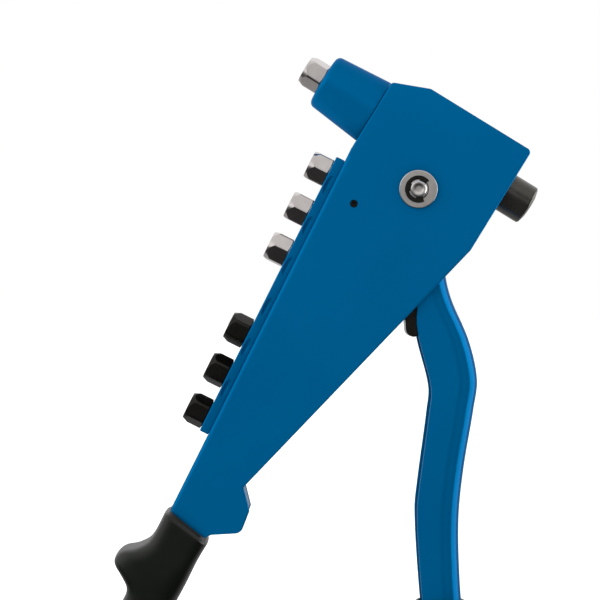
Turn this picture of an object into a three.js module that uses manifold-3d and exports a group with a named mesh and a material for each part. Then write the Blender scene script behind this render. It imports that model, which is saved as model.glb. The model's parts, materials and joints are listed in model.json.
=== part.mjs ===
// Hand riveter: a blue sheet-steel frame with a nose for blind rivets, a rail of spare nosepieces, and a
// long lever that draws the jaws back. Millimetres, +Z up, and the tool stands on the ends of its two
// handles. Its flat sides face -Y and +Y.
//
// Most pieces are drawn in the tool frame: the pivot is its origin, +X runs back along the nose axis and
// +Z is square to it. The tool frame is tilted by NOSE_TILT, so the nose points up and to -X.
// The lever pieces are drawn upright, also with the pivot as their origin.

import * as THREE from 'three';
import { mergeVertices } from 'three/addons/utils/BufferGeometryUtils.js';
import Module from 'manifold-3d';

const wasm = await Module();
wasm.setup();

// ---------------------------------------------------------------- driving dimensions

const GAP = 0.3;                                   // clearance between neighbouring pieces
const NOSE_TILT = THREE.MathUtils.degToRad(31.6);  // the nose axis above horizontal
const NOSE_AXIS = 19.5;                            // height of the nose axis above the pivot

const SHEET = 2;              // thickness of the frame and lever sheet
const FRAME_HALF = 12;        // half width over the side plates
const FRAME_INSIDE = FRAME_HALF - SHEET;
const FRAME_FRONT = -32.75;   // front edge of the side plates, beside the nose
const FRAME_BACK = 32;
const FRAME_TOP = 38.6;
const FRAME_BOTTOM = -168;    // where the frame enters the grip
const FRONT_LEAN = THREE.MathUtils.degToRad(5);    // the front web leans back going down
const BEND_RADIUS = 3;
const WEB_TOP = -3;

const TANG_BACK = 0.4;        // the tang is the part of the frame inside the grip
const TANG_FRONT = -13;
const TANG_END = -255;

const NOSE_FACE = -58.1;
const NOSE_RADIUS = 11.8;
const NOSE_FLARE_UP = 2.1;    // the nose is taller at its base than at its face
const NOSE_FLARE_DOWN = 2.8;
const NOSE_CORNER = 2;
const SPIGOT_RADIUS = FRAME_INSIDE - GAP;
const SPIGOT_END = -13;
const CASE_BORE = 7.8;

const HEX_FLATS = 12;         // nosepiece head across its flats
const HEAD_LENGTH = 8.8;
const HEAD_FACE_RADIUS = 5.6; // flat end of the head, inside its chamfer
const HEAD_CHAMFER = 3;       // depth of the chamfer at the corners
const THREAD_RADIUS = 5.9;
const THREAD_LENGTH = 11.3;
const SOCKET_RADIUS = THREAD_RADIUS + GAP;

const RAIL_HALF = 8;
const RAIL_THICKNESS = 3.7;
const RAIL_TOP = 5.5;         // distances down the front edge
const RAIL_LENGTH = 128.4;
const FIRST_SOCKET = 12.7;
const SOCKET_PITCH = 19.05;
const SOCKET_COUNT = 7;

const PIN_RADIUS = 4;
const PIVOT_HOLE = PIN_RADIUS + GAP;
const WASHER_RADIUS = 8;
const WASHER_THICKNESS = 1.5;
const CLIP_THICKNESS = 0.7;
const CLIP_RADIUS = 5.65;
const CLIP_MOUTH = 48;        // half the angle of the clip's mouth, in degrees
const CLIP_TURN = 18.6;       // the mouth's direction above +X, in degrees
const PIN_TIP_RADIUS = 3.3;   // the pin's end beyond the clip
const GROOVE_RADIUS = 2.6;
const BUSHING_RADIUS = 5;

const SPRING_PIN = new THREE.Vector2(-19.7, -19.1);
const SPRING_PIN_RADIUS = 1.6;

const CASE_RADIUS = 7.5;
const CASE_FRONT = -45.5;
const CASE_SHOULDER = -12;
const CASE_CAVITY = 6.04;
const CASE_MOUTH = 3.9;
const JAW_TAPER = THREE.MathUtils.degToRad(15);
const NECK_RADIUS = 5;
const NECK_BORE = 3.6;
const NECK_END = 8.5;
const JAW_BORE = 1.7;         // radius inside the closed jaws
const JAW_SPACING = 1.2;      // between neighbouring jaws while they are open
const JAW_END = -29;
const PUSHER_END = -20;
const PUSHER_BORE = 2.2;
const JAW_SPRING_RADIUS = 2.85;
const JAW_WIRE = 0.4;
const MANDREL_BORE = 2.6;     // where the tube seats on the neck
const TUBE_RADIUS = 8.5;
const TUBE_BORE = 4.8;
const TUBE_END = 44.2;
const GUIDE_FRONT = 24;
const GUIDE_END = 31;
const GUIDE_RISE = 11;        // above and below the nose axis

const LEVER_TRAVEL = THREE.MathUtils.degToRad(26);
const LOBE_SWING = NOSE_AXIS * Math.tan(LEVER_TRAVEL / 2);  // each way from above the pivot
const LOBE_RADIUS = 4.5;      // the fork lobes push the rear tube
const TUBE_FRONT = LOBE_RADIUS - LOBE_SWING + GAP;
const EAR_HALF = 2.7;
const LEVER_HALF = 9.25;
const LEVER_INSIDE = LEVER_HALF - SHEET;
const LEVER_BOSS = 9;
const FORK_HALF = LEVER_INSIDE - GAP;
const FORK_THICKNESS = 1.65;
const FORK_BOSS = 8.4;

const GRIP_HALF = 15.3;
const GRIP_TOP = -169.2;
const GRIP_END = -271.3;
const GRIP_ROUNDING = 6;
const LEVER_GRIP_TOP = -174;
const LEVER_GRIP_HALF = 13;

// ---------------------------------------------------------------- materials

function material(colour, roughness, metalness) {
  return new THREE.MeshStandardMaterial({ color: colour, roughness, metalness });
}

const bluePaint = () => material('#005a8c', 0.35, 0.1);
const brightPlate = () => material('#b4aca8', 0.18, 1);
const blackOxide = () => material('#1c1c19', 0.4, 0.8);
const plainSteel = () => material('#a09c98', 0.35, 1);
const hardenedSteel = () => material('#6c6a68', 0.4, 1);
const springSteel = () => material('#55534f', 0.35, 1);
const blackPlastic = () => material('#171a14', 0.5, 0);

// ---------------------------------------------------------------- solids and their joining

function toSolid(geometry) {
  const bare = geometry.clone();
  bare.deleteAttribute('normal');
  bare.deleteAttribute('uv');
  const merged = mergeVertices(bare);
  return new wasm.Manifold(new wasm.Mesh({
    numProp: 3,
    vertProperties: new Float32Array(merged.attributes.position.array),
    triVerts: new Uint32Array(merged.index.array),
  }));
}

function toGeometry(solid) {
  const mesh = solid.getMesh();
  const geometry = new THREE.BufferGeometry();
  geometry.setAttribute('position', new THREE.BufferAttribute(mesh.vertProperties, 3));
  geometry.setIndex(new THREE.BufferAttribute(mesh.triVerts, 1));
  geometry.computeVertexNormals();
  return geometry;
}

function joined(...geometries) {
  const solids = geometries.map(toSolid);
  return toGeometry(solids.reduce((whole, solid) => whole.add(solid)));
}

function cut(geometry, ...cutters) {
  const solids = cutters.map(toSolid);
  return toGeometry(solids.reduce((rest, solid) => rest.subtract(solid), toSolid(geometry)));
}

function common(first, second) {
  return toGeometry(toSolid(first).intersect(toSolid(second)));
}

// A shape drawn in X and Z, made solid between two Y values.
function sidewaysPrism(shape, yLow, yHigh, curveSegments = 6) {
  const geometry = new THREE.ExtrudeGeometry(shape, {
    depth: yHigh - yLow,
    bevelEnabled: false,
    curveSegments,
  });
  geometry.rotateX(Math.PI / 2);
  geometry.translate(0, yHigh, 0);
  return geometry;
}

// A [radius, distance] profile turned round the X axis, through a point on it at height z.
function turnedAlongX(profile, z = 0, segments = 24) {
  const geometry = new THREE.LatheGeometry(profile.map(([r, h]) => new THREE.Vector2(r, h)), segments);
  geometry.rotateZ(-Math.PI / 2);
  geometry.translate(0, 0, z);
  return geometry;
}

// The same profile turned round the Y axis.
function turnedAlongY(profile, segments = 24) {
  return new THREE.LatheGeometry(profile.map(([r, h]) => new THREE.Vector2(r, h)), segments);
}

// The profile of a plain ring or tube, closed on itself.
function ringProfile(inner, outer, low, high) {
  return [[inner, low], [outer, low], [outer, high], [inner, high], [inner, low]];
}

function discProfile(radius, low, high) {
  return [[0, low], [radius, low], [radius, high], [0, high]];
}

// A polygon of [x, z, corner radius] points with its corners eased by short curves.
function easedPolygon(corners) {
  const shape = new THREE.Shape();
  corners.forEach(([x, z, radius = 0], index) => {
    const corner = new THREE.Vector2(x, z);
    const before = corners.at(index - 1);
    const after = corners[(index + 1) % corners.length];
    const towards = ([px, pz]) => new THREE.Vector2(px - x, pz - z).normalize();
    const start = towards(before).multiplyScalar(radius).add(corner);
    const end = towards(after).multiplyScalar(radius).add(corner);
    if (index === 0) shape.moveTo(start.x, start.y);
    else shape.lineTo(start.x, start.y);
    if (radius > 0) shape.quadraticCurveTo(corner.x, corner.y, end.x, end.y);
  });
  shape.closePath();
  return shape;
}

function circleShape(x, z, radius) {
  const shape = new THREE.Shape();
  shape.absarc(x, z, radius, 0, Math.PI * 2);
  return shape;
}

// The outline that wraps round two discs, drawn with their common tangents.
function strapShape(from, fromRadius, to, toRadius) {
  const along = to.clone().sub(from);
  const heading = Math.atan2(along.y, along.x);
  const tangent = Math.acos((fromRadius - toRadius) / along.length());
  const shape = new THREE.Shape();
  shape.absarc(from.x, from.y, fromRadius, heading + tangent, heading - tangent + Math.PI * 2, false);
  shape.absarc(to.x, to.y, toRadius, heading - tangent, heading + tangent, false);
  shape.closePath();
  return shape;
}

// A closed solid with one rounded section per height: front and back edges and a half width, each a
// function of height. The section is a rounded rectangle, and the lower end is rounded off.
function sleeveSolid({ top, end, rounding, front, back, half, sides = 18, rings = 20, tilt = () => 0 }) {
  const geometry = new THREE.CylinderGeometry(1, 1, 1, sides, rings);
  const position = geometry.attributes.position;
  const squareness = 0.5;
  for (let i = 0; i < position.count; i += 1) {
    const share = 0.5 - position.getY(i);
    const z = top + (end - top) * share;
    const inEnd = Math.max(0, end + rounding - z);
    const inset = rounding - Math.sqrt(Math.max(0, rounding ** 2 - inEnd ** 2));
    const reach = Math.hypot(position.getX(i), position.getZ(i));
    const angle = Math.atan2(position.getZ(i), position.getX(i));
    const across = Math.sign(Math.cos(angle)) * Math.abs(Math.cos(angle)) ** squareness * reach;
    const sideways = Math.sign(Math.sin(angle)) * Math.abs(Math.sin(angle)) ** squareness * reach;
    const frontEdge = front(z) + inset;
    const backEdge = back(z) - inset;
    const x = (frontEdge + backEdge) / 2 + across * (backEdge - frontEdge) / 2;
    position.setXYZ(i, x, sideways * (half - inset), z + tilt(x, z));
  }
  // The unit cylinder ran along Y and now runs along Z, which turned its faces inside out.
  const index = geometry.index;
  for (let i = 0; i < index.count; i += 3) {
    const second = index.getX(i + 1);
    index.setX(i + 1, index.getX(i + 2));
    index.setX(i + 2, second);
  }
  return toGeometry(toSolid(geometry));
}

// A smooth edge through [x, z] points listed from the top down, read as x for a height z.
function edgeThrough(points) {
  const heights = points.map(([, z]) => z);
  return (z) => {
    const below = heights.findIndex((height) => height < z);
    const upper = below < 0 ? points.length - 2 : Math.max(0, below - 1);
    const at = (index) => points[Math.min(points.length - 1, Math.max(0, index))];
    const [x0, z0] = at(upper);
    const [x1, z1] = at(upper + 1);
    const slope = (i, j) => (at(j)[0] - at(i)[0]) / (at(j)[1] - at(i)[1]);
    const span = z1 - z0;
    const t = THREE.MathUtils.clamp((z - z0) / span, 0, 1);
    const leave = slope(Math.max(0, upper - 1), upper + 1) * span;
    const arrive = slope(upper, Math.min(points.length - 1, upper + 2)) * span;
    return x0 * (1 + 2 * t) * (1 - t) ** 2 + leave * t * (1 - t) ** 2
      + x1 * t * t * (3 - 2 * t) + arrive * t * t * (t - 1);
  };
}

// A wire of round section along a list of points.
function wire(points, radius, steps, sides = 6) {
  const path = new THREE.CatmullRomCurve3(points, false, 'centripetal');
  const section = new THREE.Shape();
  for (let i = 0; i < sides; i += 1) {
    const angle = (i / sides) * Math.PI * 2;
    if (i === 0) section.moveTo(radius, 0);
    else section.lineTo(radius * Math.cos(angle), radius * Math.sin(angle));
  }
  section.closePath();
  return new THREE.ExtrudeGeometry(section, { steps, bevelEnabled: false, extrudePath: path });
}

// ---------------------------------------------------------------- groups

const riveter = new THREE.Group();
riveter.name = 'hand_riveter';

const tool = new THREE.Group();
tool.rotation.y = NOSE_TILT;
riveter.add(tool);

// The rail's own frame: its origin is the top of the leaning front edge, -X points straight out of the
// web and -Z runs down it.
const rack = new THREE.Group();
rack.position.set(FRAME_FRONT, 0, 0);
rack.rotation.y = -FRONT_LEAN;
rack.updateMatrix();
tool.add(rack);

const lever = new THREE.Group();
riveter.add(lever);

function addPiece(group, name, geometry, pieceMaterial) {
  const mesh = new THREE.Mesh(geometry, pieceMaterial);
  mesh.name = name;
  group.add(mesh);
  return mesh;
}

function socketDepth(position) {
  return FIRST_SOCKET + SOCKET_PITCH * (position - 1);
}

// ---------------------------------------------------------------- frame

function leaningFront(z) {
  return FRAME_FRONT - z * Math.tan(FRONT_LEAN);
}

const NOTCH = new THREE.Vector2(3.1, -144);      // where the lug starts on the back edge
const LUG_TIP = new THREE.Vector2(10.4, -151.1);

function frameOutline() {
  return easedPolygon([
    [FRAME_FRONT, 32.4, 1.6],
    [-17.4, FRAME_TOP, 1.5],
    [FRAME_BACK, FRAME_TOP, 1.7],
    [FRAME_BACK, -10.1, 1.5],
    [NOTCH.x, NOTCH.y],
    [LUG_TIP.x, LUG_TIP.y, 0.6],
    [12.2, -160.9, 1.6],
    [2, FRAME_BOTTOM],
    [TANG_BACK, FRAME_BOTTOM - 2.4],
    [TANG_BACK, TANG_END],
    [TANG_FRONT, TANG_END],
    [TANG_FRONT, -185],
    [-17.2, -169.5],
    [leaningFront(-165), -165],
    [FRAME_FRONT, 0],
  ]);
}

// The space between the plates. It is open at the top and the back, and at the front above the web.
function frameVoid() {
  const behindWeb = (z) => leaningFront(z) + SHEET / Math.cos(FRONT_LEAN);
  return easedPolygon([
    [FRAME_FRONT - 5, FRAME_TOP + 5],
    [FRAME_BACK + 5, FRAME_TOP + 5],
    [FRAME_BACK + 5, TANG_END - 5],
    [TANG_FRONT + SHEET, TANG_END - 5],
    [TANG_FRONT + SHEET, -186],
    [behindWeb(-165), -168],
    [behindWeb(WEB_TOP), WEB_TOP],
    [FRAME_FRONT - 5, WEB_TOP],
  ]);
}

// The waste outside the two rounded bends between the web and the plates.
function bendTrim() {
  const length = -FRAME_BOTTOM - 4;
  const block = new THREE.BoxGeometry(BEND_RADIUS + 2, FRAME_HALF * 2 + 4, length);
  block.translate(BEND_RADIUS / 2 - 1, 0, WEB_TOP - length / 2);
  const inner = FRAME_HALF - BEND_RADIUS;
  const section = new THREE.Shape();
  section.moveTo(40, -FRAME_HALF);
  section.lineTo(BEND_RADIUS, -FRAME_HALF);
  section.absarc(BEND_RADIUS, -inner, BEND_RADIUS, -Math.PI / 2, -Math.PI, true);
  section.absarc(BEND_RADIUS, inner, BEND_RADIUS, Math.PI, Math.PI / 2, true);
  section.lineTo(40, FRAME_HALF);
  section.closePath();
  const kept = new THREE.ExtrudeGeometry(section, { depth: 400, bevelEnabled: false, curveSegments: 4 });
  kept.translate(0, 0, -300);
  return cut(block, kept).applyMatrix4(rack.matrix);
}

function rackHole(position, radius, reach) {
  const hole = turnedAlongX(discProfile(radius, -reach, reach), -socketDepth(position), 18);
  return hole.applyMatrix4(rack.matrix);
}

function bodyFrame() {
  const holes = [sidewaysPrism(circleShape(0, 0, PIVOT_HOLE), -20, 20)];
  holes.push(sidewaysPrism(circleShape(SPRING_PIN.x, SPRING_PIN.y, SPRING_PIN_RADIUS + GAP), -20, 20, 4));
  for (let position = 1; position <= SOCKET_COUNT; position += 1) {
    holes.push(rackHole(position, SOCKET_RADIUS, 6));
  }
  const plates = cut(
    sidewaysPrism(frameOutline(), -FRAME_HALF, FRAME_HALF, 3),
    sidewaysPrism(frameVoid(), -FRAME_INSIDE, FRAME_INSIDE),
    bendTrim(),
    ...holes,
  );
  return joined(plates, stopStrip());
}

// The lever stops against a strip folded across the top of the two lugs, just under their edges.
function stopStrip() {
  const along = LUG_TIP.clone().sub(NOTCH).normalize();
  const inward = new THREE.Vector2(along.y, -along.x);
  const corner = (start, forward, depth) => {
    const point = start.clone().addScaledVector(along, forward).addScaledVector(inward, depth);
    return [point.x, point.y];
  };
  const strip = easedPolygon([
    corner(NOTCH, 0.5, 0.2),
    corner(LUG_TIP, -0.8, 0.2),
    corner(LUG_TIP, -0.8, 0.2 + SHEET),
    corner(NOTCH, 0.5, 0.2 + SHEET),
  ]);
  return sidewaysPrism(strip, -FRAME_HALF + 0.5, FRAME_HALF - 0.5);
}

addPiece(tool, 'body_frame', bodyFrame(), bluePaint());

// ---------------------------------------------------------------- nose housing

function noseHousing() {
  const base = FRAME_FRONT - GAP;
  const shoulder = NOSE_RADIUS - NOSE_CORNER;
  const profile = [[0, NOSE_FACE]];
  for (let i = 0; i <= 4; i += 1) {
    const angle = (i / 4) * Math.PI / 2;
    profile.push([
      shoulder + NOSE_CORNER * Math.sin(angle),
      NOSE_FACE + NOSE_CORNER * (1 - Math.cos(angle)),
    ]);
  }
  profile.push([NOSE_RADIUS, base], [0, base]);
  const barrel = turnedAlongX(profile, 0, 32);
  const position = barrel.attributes.position;
  for (let i = 0; i < position.count; i += 1) {
    const share = (position.getX(i) - NOSE_FACE) / (base - NOSE_FACE);
    const flare = position.getZ(i) > 0 ? NOSE_FLARE_UP : NOSE_FLARE_DOWN;
    position.setZ(i, position.getZ(i) * (1 + flare * share / NOSE_RADIUS));
  }
  barrel.translate(0, 0, NOSE_AXIS);
  const spigot = turnedAlongX(discProfile(SPIGOT_RADIUS, base - 1, SPIGOT_END), NOSE_AXIS, 32);
  const threadEnd = NOSE_FACE + THREAD_LENGTH + GAP;
  const bore = turnedAlongX([
    [0, NOSE_FACE - 1],
    [SOCKET_RADIUS, NOSE_FACE - 1],
    [SOCKET_RADIUS, threadEnd],
    [CASE_BORE, threadEnd],
    [CASE_BORE, SPIGOT_END + 1],
    [0, SPIGOT_END + 1],
  ], NOSE_AXIS, 32);
  return cut(joined(barrel, spigot), bore);
}

addPiece(tool, 'nose_housing', noseHousing(), bluePaint());

// ---------------------------------------------------------------- nosepieces and their rail

// A hex-headed nosepiece. Its seat is at X = 0, the head points to -X and the thread to +X.
function nosepiece(boreRadius) {
  const corner = HEX_FLATS / Math.sqrt(3);
  const end = -GAP - HEAD_LENGTH;
  const hexagon = new THREE.CylinderGeometry(corner, corner, HEAD_LENGTH, 6);
  hexagon.rotateZ(Math.PI / 2);
  hexagon.translate(end + HEAD_LENGTH / 2, 0, 0);
  const spread = (corner - HEAD_FACE_RADIUS) / HEAD_CHAMFER;
  const cone = turnedAlongX([
    [0, end],
    [HEAD_FACE_RADIUS, end],
    [HEAD_FACE_RADIUS + spread * HEAD_LENGTH, end + HEAD_LENGTH],
    [0, end + HEAD_LENGTH],
  ]);
  const thread = turnedAlongX([
    [0, -GAP - 0.5],
    [THREAD_RADIUS, -GAP - 0.5],
    [THREAD_RADIUS, THREAD_LENGTH - 0.8],
    [THREAD_RADIUS - 0.8, THREAD_LENGTH],
    [0, THREAD_LENGTH],
  ], 0, 18);
  const bore = turnedAlongX(discProfile(boreRadius, end - 1, THREAD_LENGTH + 1), 0, 12);
  return cut(joined(common(hexagon, cone), thread), bore);
}

// How each nosepiece came to rest when it was tightened, in degrees from a corner facing -Y.
const FITTED_TURN = -24;
const STORED_NOSEPIECES = [
  { position: 1, turn: -6, bore: 1.7, finish: brightPlate },
  { position: 2, turn: -4, bore: 2.1, finish: brightPlate },
  { position: 3, turn: 5, bore: 2.5, finish: brightPlate },
  { position: 5, turn: 27, bore: 2.6, finish: blackOxide },
  { position: 6, turn: 25, bore: 3.1, finish: blackOxide },
  { position: 7, turn: 29, bore: 3.3, finish: blackOxide },
];

function turnTo(mesh, degrees) {
  mesh.rotation.x = THREE.MathUtils.degToRad(90 - degrees);
}

const fitted = addPiece(tool, 'fitted_nosepiece', nosepiece(2.1), brightPlate());
fitted.position.set(NOSE_FACE, 0, NOSE_AXIS);
turnTo(fitted, FITTED_TURN);

function nosepieceRail() {
  const rail = new THREE.BoxGeometry(RAIL_THICKNESS, RAIL_HALF * 2, RAIL_LENGTH);
  rail.translate(-GAP - RAIL_THICKNESS / 2, 0, -RAIL_TOP - RAIL_LENGTH / 2);
  const sockets = [];
  for (let position = 1; position <= SOCKET_COUNT; position += 1) {
    sockets.push(turnedAlongX(discProfile(SOCKET_RADIUS, -10, 10), -socketDepth(position), 18));
  }
  return cut(rail, ...sockets);
}

addPiece(rack, 'nosepiece_rail', nosepieceRail(), bluePaint());

for (const { position, turn, bore, finish } of STORED_NOSEPIECES) {
  const stored = addPiece(rack, `stored_nosepiece_${position}`, nosepiece(bore), finish());
  stored.position.set(-GAP - RAIL_THICKNESS, 0, -socketDepth(position));
  turnTo(stored, turn);
}

// ---------------------------------------------------------------- pivot and spring pin

function pivotPin() {
  const headInner = FRAME_HALF + GAP;
  const headRadius = WASHER_RADIUS - 1;
  const washerOuter = -FRAME_HALF - GAP - WASHER_THICKNESS;
  const grooveInner = washerOuter - 0.1;
  const grooveOuter = washerOuter - GAP - CLIP_THICKNESS - 0.2;
  const tip = grooveOuter - 1.2;
  return turnedAlongY([
    [0, tip],
    [PIN_TIP_RADIUS - 0.5, tip],
    [PIN_TIP_RADIUS, tip + 0.5],
    [PIN_TIP_RADIUS, grooveOuter],
    [GROOVE_RADIUS, grooveOuter],
    [GROOVE_RADIUS, grooveInner],
    [PIN_RADIUS, grooveInner],
    [PIN_RADIUS, headInner],
    [headRadius, headInner],
    [headRadius, headInner + 1.6],
    [headRadius - 1.1, -tip - 0.8],
    [headRadius - 3, -tip],
    [0, -tip],
  ]);
}

addPiece(tool, 'pivot_pin', pivotPin(), plainSteel());

const washerFace = -FRAME_HALF - GAP;
addPiece(
  tool,
  'pivot_washer',
  turnedAlongY(ringProfile(PIVOT_HOLE, WASHER_RADIUS, washerFace - WASHER_THICKNESS, washerFace), 32),
  plainSteel(),
);

// A clip with three prongs that reach into the groove, and a relief between each two of them.
function pivotClip() {
  const heading = (degrees) => THREE.MathUtils.degToRad(degrees + CLIP_TURN);
  const prong = GROOVE_RADIUS + GAP;
  const relief = PIN_TIP_RADIUS + 1;
  const slope = 6;            // degrees between the side of a prong and the relief beside it
  const rearProng = 20;       // half its angle, opposite the mouth
  const sideProng = CLIP_MOUTH + 43;
  const shape = new THREE.Shape();
  shape.absarc(0, 0, CLIP_RADIUS, heading(CLIP_MOUTH), heading(360 - CLIP_MOUTH), false);
  shape.absarc(0, 0, prong, heading(360 - CLIP_MOUTH), heading(360 - sideProng), true);
  shape.absarc(0, 0, relief, heading(360 - sideProng - slope), heading(180 + rearProng + slope), true);
  shape.absarc(0, 0, prong, heading(180 + rearProng), heading(180 - rearProng), true);
  shape.absarc(0, 0, relief, heading(180 - rearProng - slope), heading(sideProng + slope), true);
  shape.absarc(0, 0, prong, heading(sideProng), heading(CLIP_MOUTH), true);
  shape.closePath();
  const outer = washerFace - WASHER_THICKNESS - GAP;
  return sidewaysPrism(shape, outer - CLIP_THICKNESS, outer, 10);
}

addPiece(tool, 'pivot_clip', pivotClip(), blackOxide());

// A rolled sheet pin with its slot facing the nosepiece rail.
function springPin() {
  const slot = THREE.MathUtils.degToRad(14);
  const half = FRAME_HALF - 0.4;
  const shape = new THREE.Shape();
  shape.absarc(0, 0, SPRING_PIN_RADIUS, -Math.PI + slot, Math.PI - slot, false);
  shape.absarc(0, 0, SPRING_PIN_RADIUS / 2, Math.PI - slot, -Math.PI + slot, true);
  shape.closePath();
  const pin = sidewaysPrism(shape, -half, half, 8);
  return pin.translate(SPRING_PIN.x, 0, SPRING_PIN.y);
}

addPiece(tool, 'spring_pin', springPin(), blackOxide());

// ---------------------------------------------------------------- jaw case and what it holds

function jawCase() {
  const coneEnd = CASE_FRONT + (CASE_CAVITY - CASE_MOUTH) / Math.tan(JAW_TAPER);
  const cavityEnd = CASE_SHOULDER - 4;
  return turnedAlongX([
    [CASE_MOUTH, CASE_FRONT],
    [CASE_RADIUS - 1, CASE_FRONT],
    [CASE_RADIUS, CASE_FRONT + 1],
    [CASE_RADIUS, CASE_SHOULDER],
    [NECK_RADIUS, CASE_SHOULDER],
    [NECK_RADIUS, NECK_END],
    [NECK_BORE, NECK_END],
    [NECK_BORE, cavityEnd],
    [CASE_CAVITY, cavityEnd],
    [CASE_CAVITY, coneEnd],
    [CASE_MOUTH, CASE_FRONT],
  ], NOSE_AXIS);
}

addPiece(tool, 'jaw_case', jawCase(), hardenedSteel());

const JAW_FRONT = NOSE_FACE + THREAD_LENGTH + GAP;

function jaw(turn) {
  const outer = (x) => CASE_MOUTH - GAP + (x - CASE_FRONT) * Math.tan(JAW_TAPER);
  const widest = CASE_CAVITY - GAP;
  const coneEnd = CASE_FRONT + (widest - CASE_MOUTH + GAP) / Math.tan(JAW_TAPER);
  const cone = turnedAlongX([
    [JAW_BORE + 0.6, JAW_FRONT],
    [outer(JAW_FRONT), JAW_FRONT],
    [widest, coneEnd],
    [widest, JAW_END],
    [JAW_BORE + 1.6, JAW_END],
    [JAW_BORE, JAW_END - 1.6],
    [JAW_BORE, JAW_FRONT + 0.6],
    [JAW_BORE + 0.6, JAW_FRONT],
  ], 0, 36);
  const inset = JAW_SPACING / 2 / Math.sin(Math.PI / 3);
  const sector = new THREE.Shape();
  sector.moveTo(0, inset);
  sector.lineTo(20 * Math.sin(Math.PI / 3), inset + 20 * Math.cos(Math.PI / 3));
  sector.lineTo(-20 * Math.sin(Math.PI / 3), inset + 20 * Math.cos(Math.PI / 3));
  sector.closePath();
  const wedge = new THREE.ExtrudeGeometry(sector, { depth: 30, bevelEnabled: false });
  wedge.rotateY(-Math.PI / 2);
  wedge.rotateX(Math.PI / 2);
  wedge.translate(JAW_END + 5, 0, 0);
  const piece = common(cone, wedge);
  piece.rotateX(turn);
  return piece.translate(0, 0, NOSE_AXIS);
}

for (let i = 0; i < 3; i += 1) {
  addPiece(tool, `jaw_${i + 1}`, jaw((i * Math.PI * 2) / 3), hardenedSteel());
}

addPiece(
  tool,
  'jaw_pusher',
  turnedAlongX(ringProfile(PUSHER_BORE, CASE_CAVITY - 0.4, JAW_END + GAP, PUSHER_END), NOSE_AXIS, 24),
  plainSteel(),
);

function jawSpring() {
  const turns = 9;
  const stepsPerTurn = 8;
  const start = PUSHER_END + GAP + JAW_WIRE;
  const length = NECK_END - JAW_WIRE - start;
  const points = [];
  for (let i = 0; i <= turns * stepsPerTurn; i += 1) {
    const angle = (i / stepsPerTurn) * Math.PI * 2;
    const x = start + (length * i) / (turns * stepsPerTurn);
    const y = JAW_SPRING_RADIUS * Math.sin(angle);
    points.push(new THREE.Vector3(x, y, NOSE_AXIS + JAW_SPRING_RADIUS * Math.cos(angle)));
  }
  return wire(points, JAW_WIRE, turns * stepsPerTurn, 4);
}

addPiece(tool, 'jaw_spring', jawSpring(), springSteel());

// The rear tube screws on to the neck of the jaw case. The fork pushes its front face, and broken
// mandrels leave through its bore.
function mandrelTube() {
  const seat = NECK_END + GAP;
  return turnedAlongX([
    [NECK_RADIUS + GAP, TUBE_FRONT],
    [TUBE_RADIUS, TUBE_FRONT],
    [TUBE_RADIUS, TUBE_END - 1.7],
    [TUBE_RADIUS - 0.5, TUBE_END - 0.9],
    [TUBE_RADIUS - 1.6, TUBE_END - 0.35],
    [TUBE_BORE, TUBE_END],
    [TUBE_BORE, seat + 2],
    [MANDREL_BORE, seat + 2],
    [MANDREL_BORE, seat],
    [NECK_RADIUS + GAP, seat],
    [NECK_RADIUS + GAP, TUBE_FRONT],
  ], NOSE_AXIS, 28);
}

addPiece(tool, 'mandrel_tube', mandrelTube(), blackOxide());

function rearGuide() {
  const half = FRAME_INSIDE - GAP;
  const block = easedPolygon([
    [GUIDE_FRONT, NOSE_AXIS - GUIDE_RISE, 1],
    [GUIDE_FRONT, NOSE_AXIS + GUIDE_RISE, 1],
    [GUIDE_END, NOSE_AXIS + GUIDE_RISE, 1],
    [GUIDE_END, NOSE_AXIS - GUIDE_RISE, 1],
  ]);
  const bore = turnedAlongX(discProfile(TUBE_RADIUS + GAP, GUIDE_FRONT - 4, GUIDE_END + 4), NOSE_AXIS, 28);
  return cut(sidewaysPrism(block, -half, half, 3), bore);
}

addPiece(tool, 'rear_guide', rearGuide(), blackOxide());

// ---------------------------------------------------------------- handle grip

const gripFront = edgeThrough([
  [-19.8, -168], [-18.7, -179.5], [-19.4, -184.8], [-22.6, -189.7], [-26.3, -193], [-27.5, -196.2],
  [-26.4, -199.6], [-22, -202], [-17.4, -204.8], [-15.4, -209], [-15.2, -220], [-16.6, -245], [-16.2, -272],
]);
const gripBack = edgeThrough([
  [2.7, -168], [2.8, -181], [3.8, -192.5], [4.4, -206], [4.2, -225], [4.6, -248], [4, -272],
]);

// The top rim is cut at a slant, lower at the back.
function gripRimTilt(x, z) {
  const fade = THREE.MathUtils.clamp((z + 182) / 13, 0, 1);
  return -0.12 * (x + 9) * fade;
}

function handleGrip() {
  const sleeve = sleeveSolid({
    top: GRIP_TOP,
    end: GRIP_END,
    rounding: GRIP_ROUNDING,
    front: gripFront,
    back: gripBack,
    half: GRIP_HALF,
    rings: 26,
    tilt: gripRimTilt,
  });
  const pocket = easedPolygon([
    [-17.6, FRAME_BOTTOM + 8],
    [TANG_BACK + 0.4, FRAME_BOTTOM + 8],
    [TANG_BACK + 0.4, TANG_END - 0.4],
    [TANG_FRONT - 0.4, TANG_END - 0.4],
    [TANG_FRONT - 0.4, -185.2],
    [-17.6, -169.6],
  ]);
  const pocketHalf = FRAME_HALF + GAP;
  return cut(sleeve, sidewaysPrism(pocket, -pocketHalf, pocketHalf));
}

const handle = addPiece(tool, 'handle_grip', handleGrip(), blackPlastic());

// The lever ends level with the handle, so the tool stands on both.
riveter.updateMatrixWorld(true);
const LEVER_END = new THREE.Box3().setFromObject(handle, true).min.z;

// ---------------------------------------------------------------- lever

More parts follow.
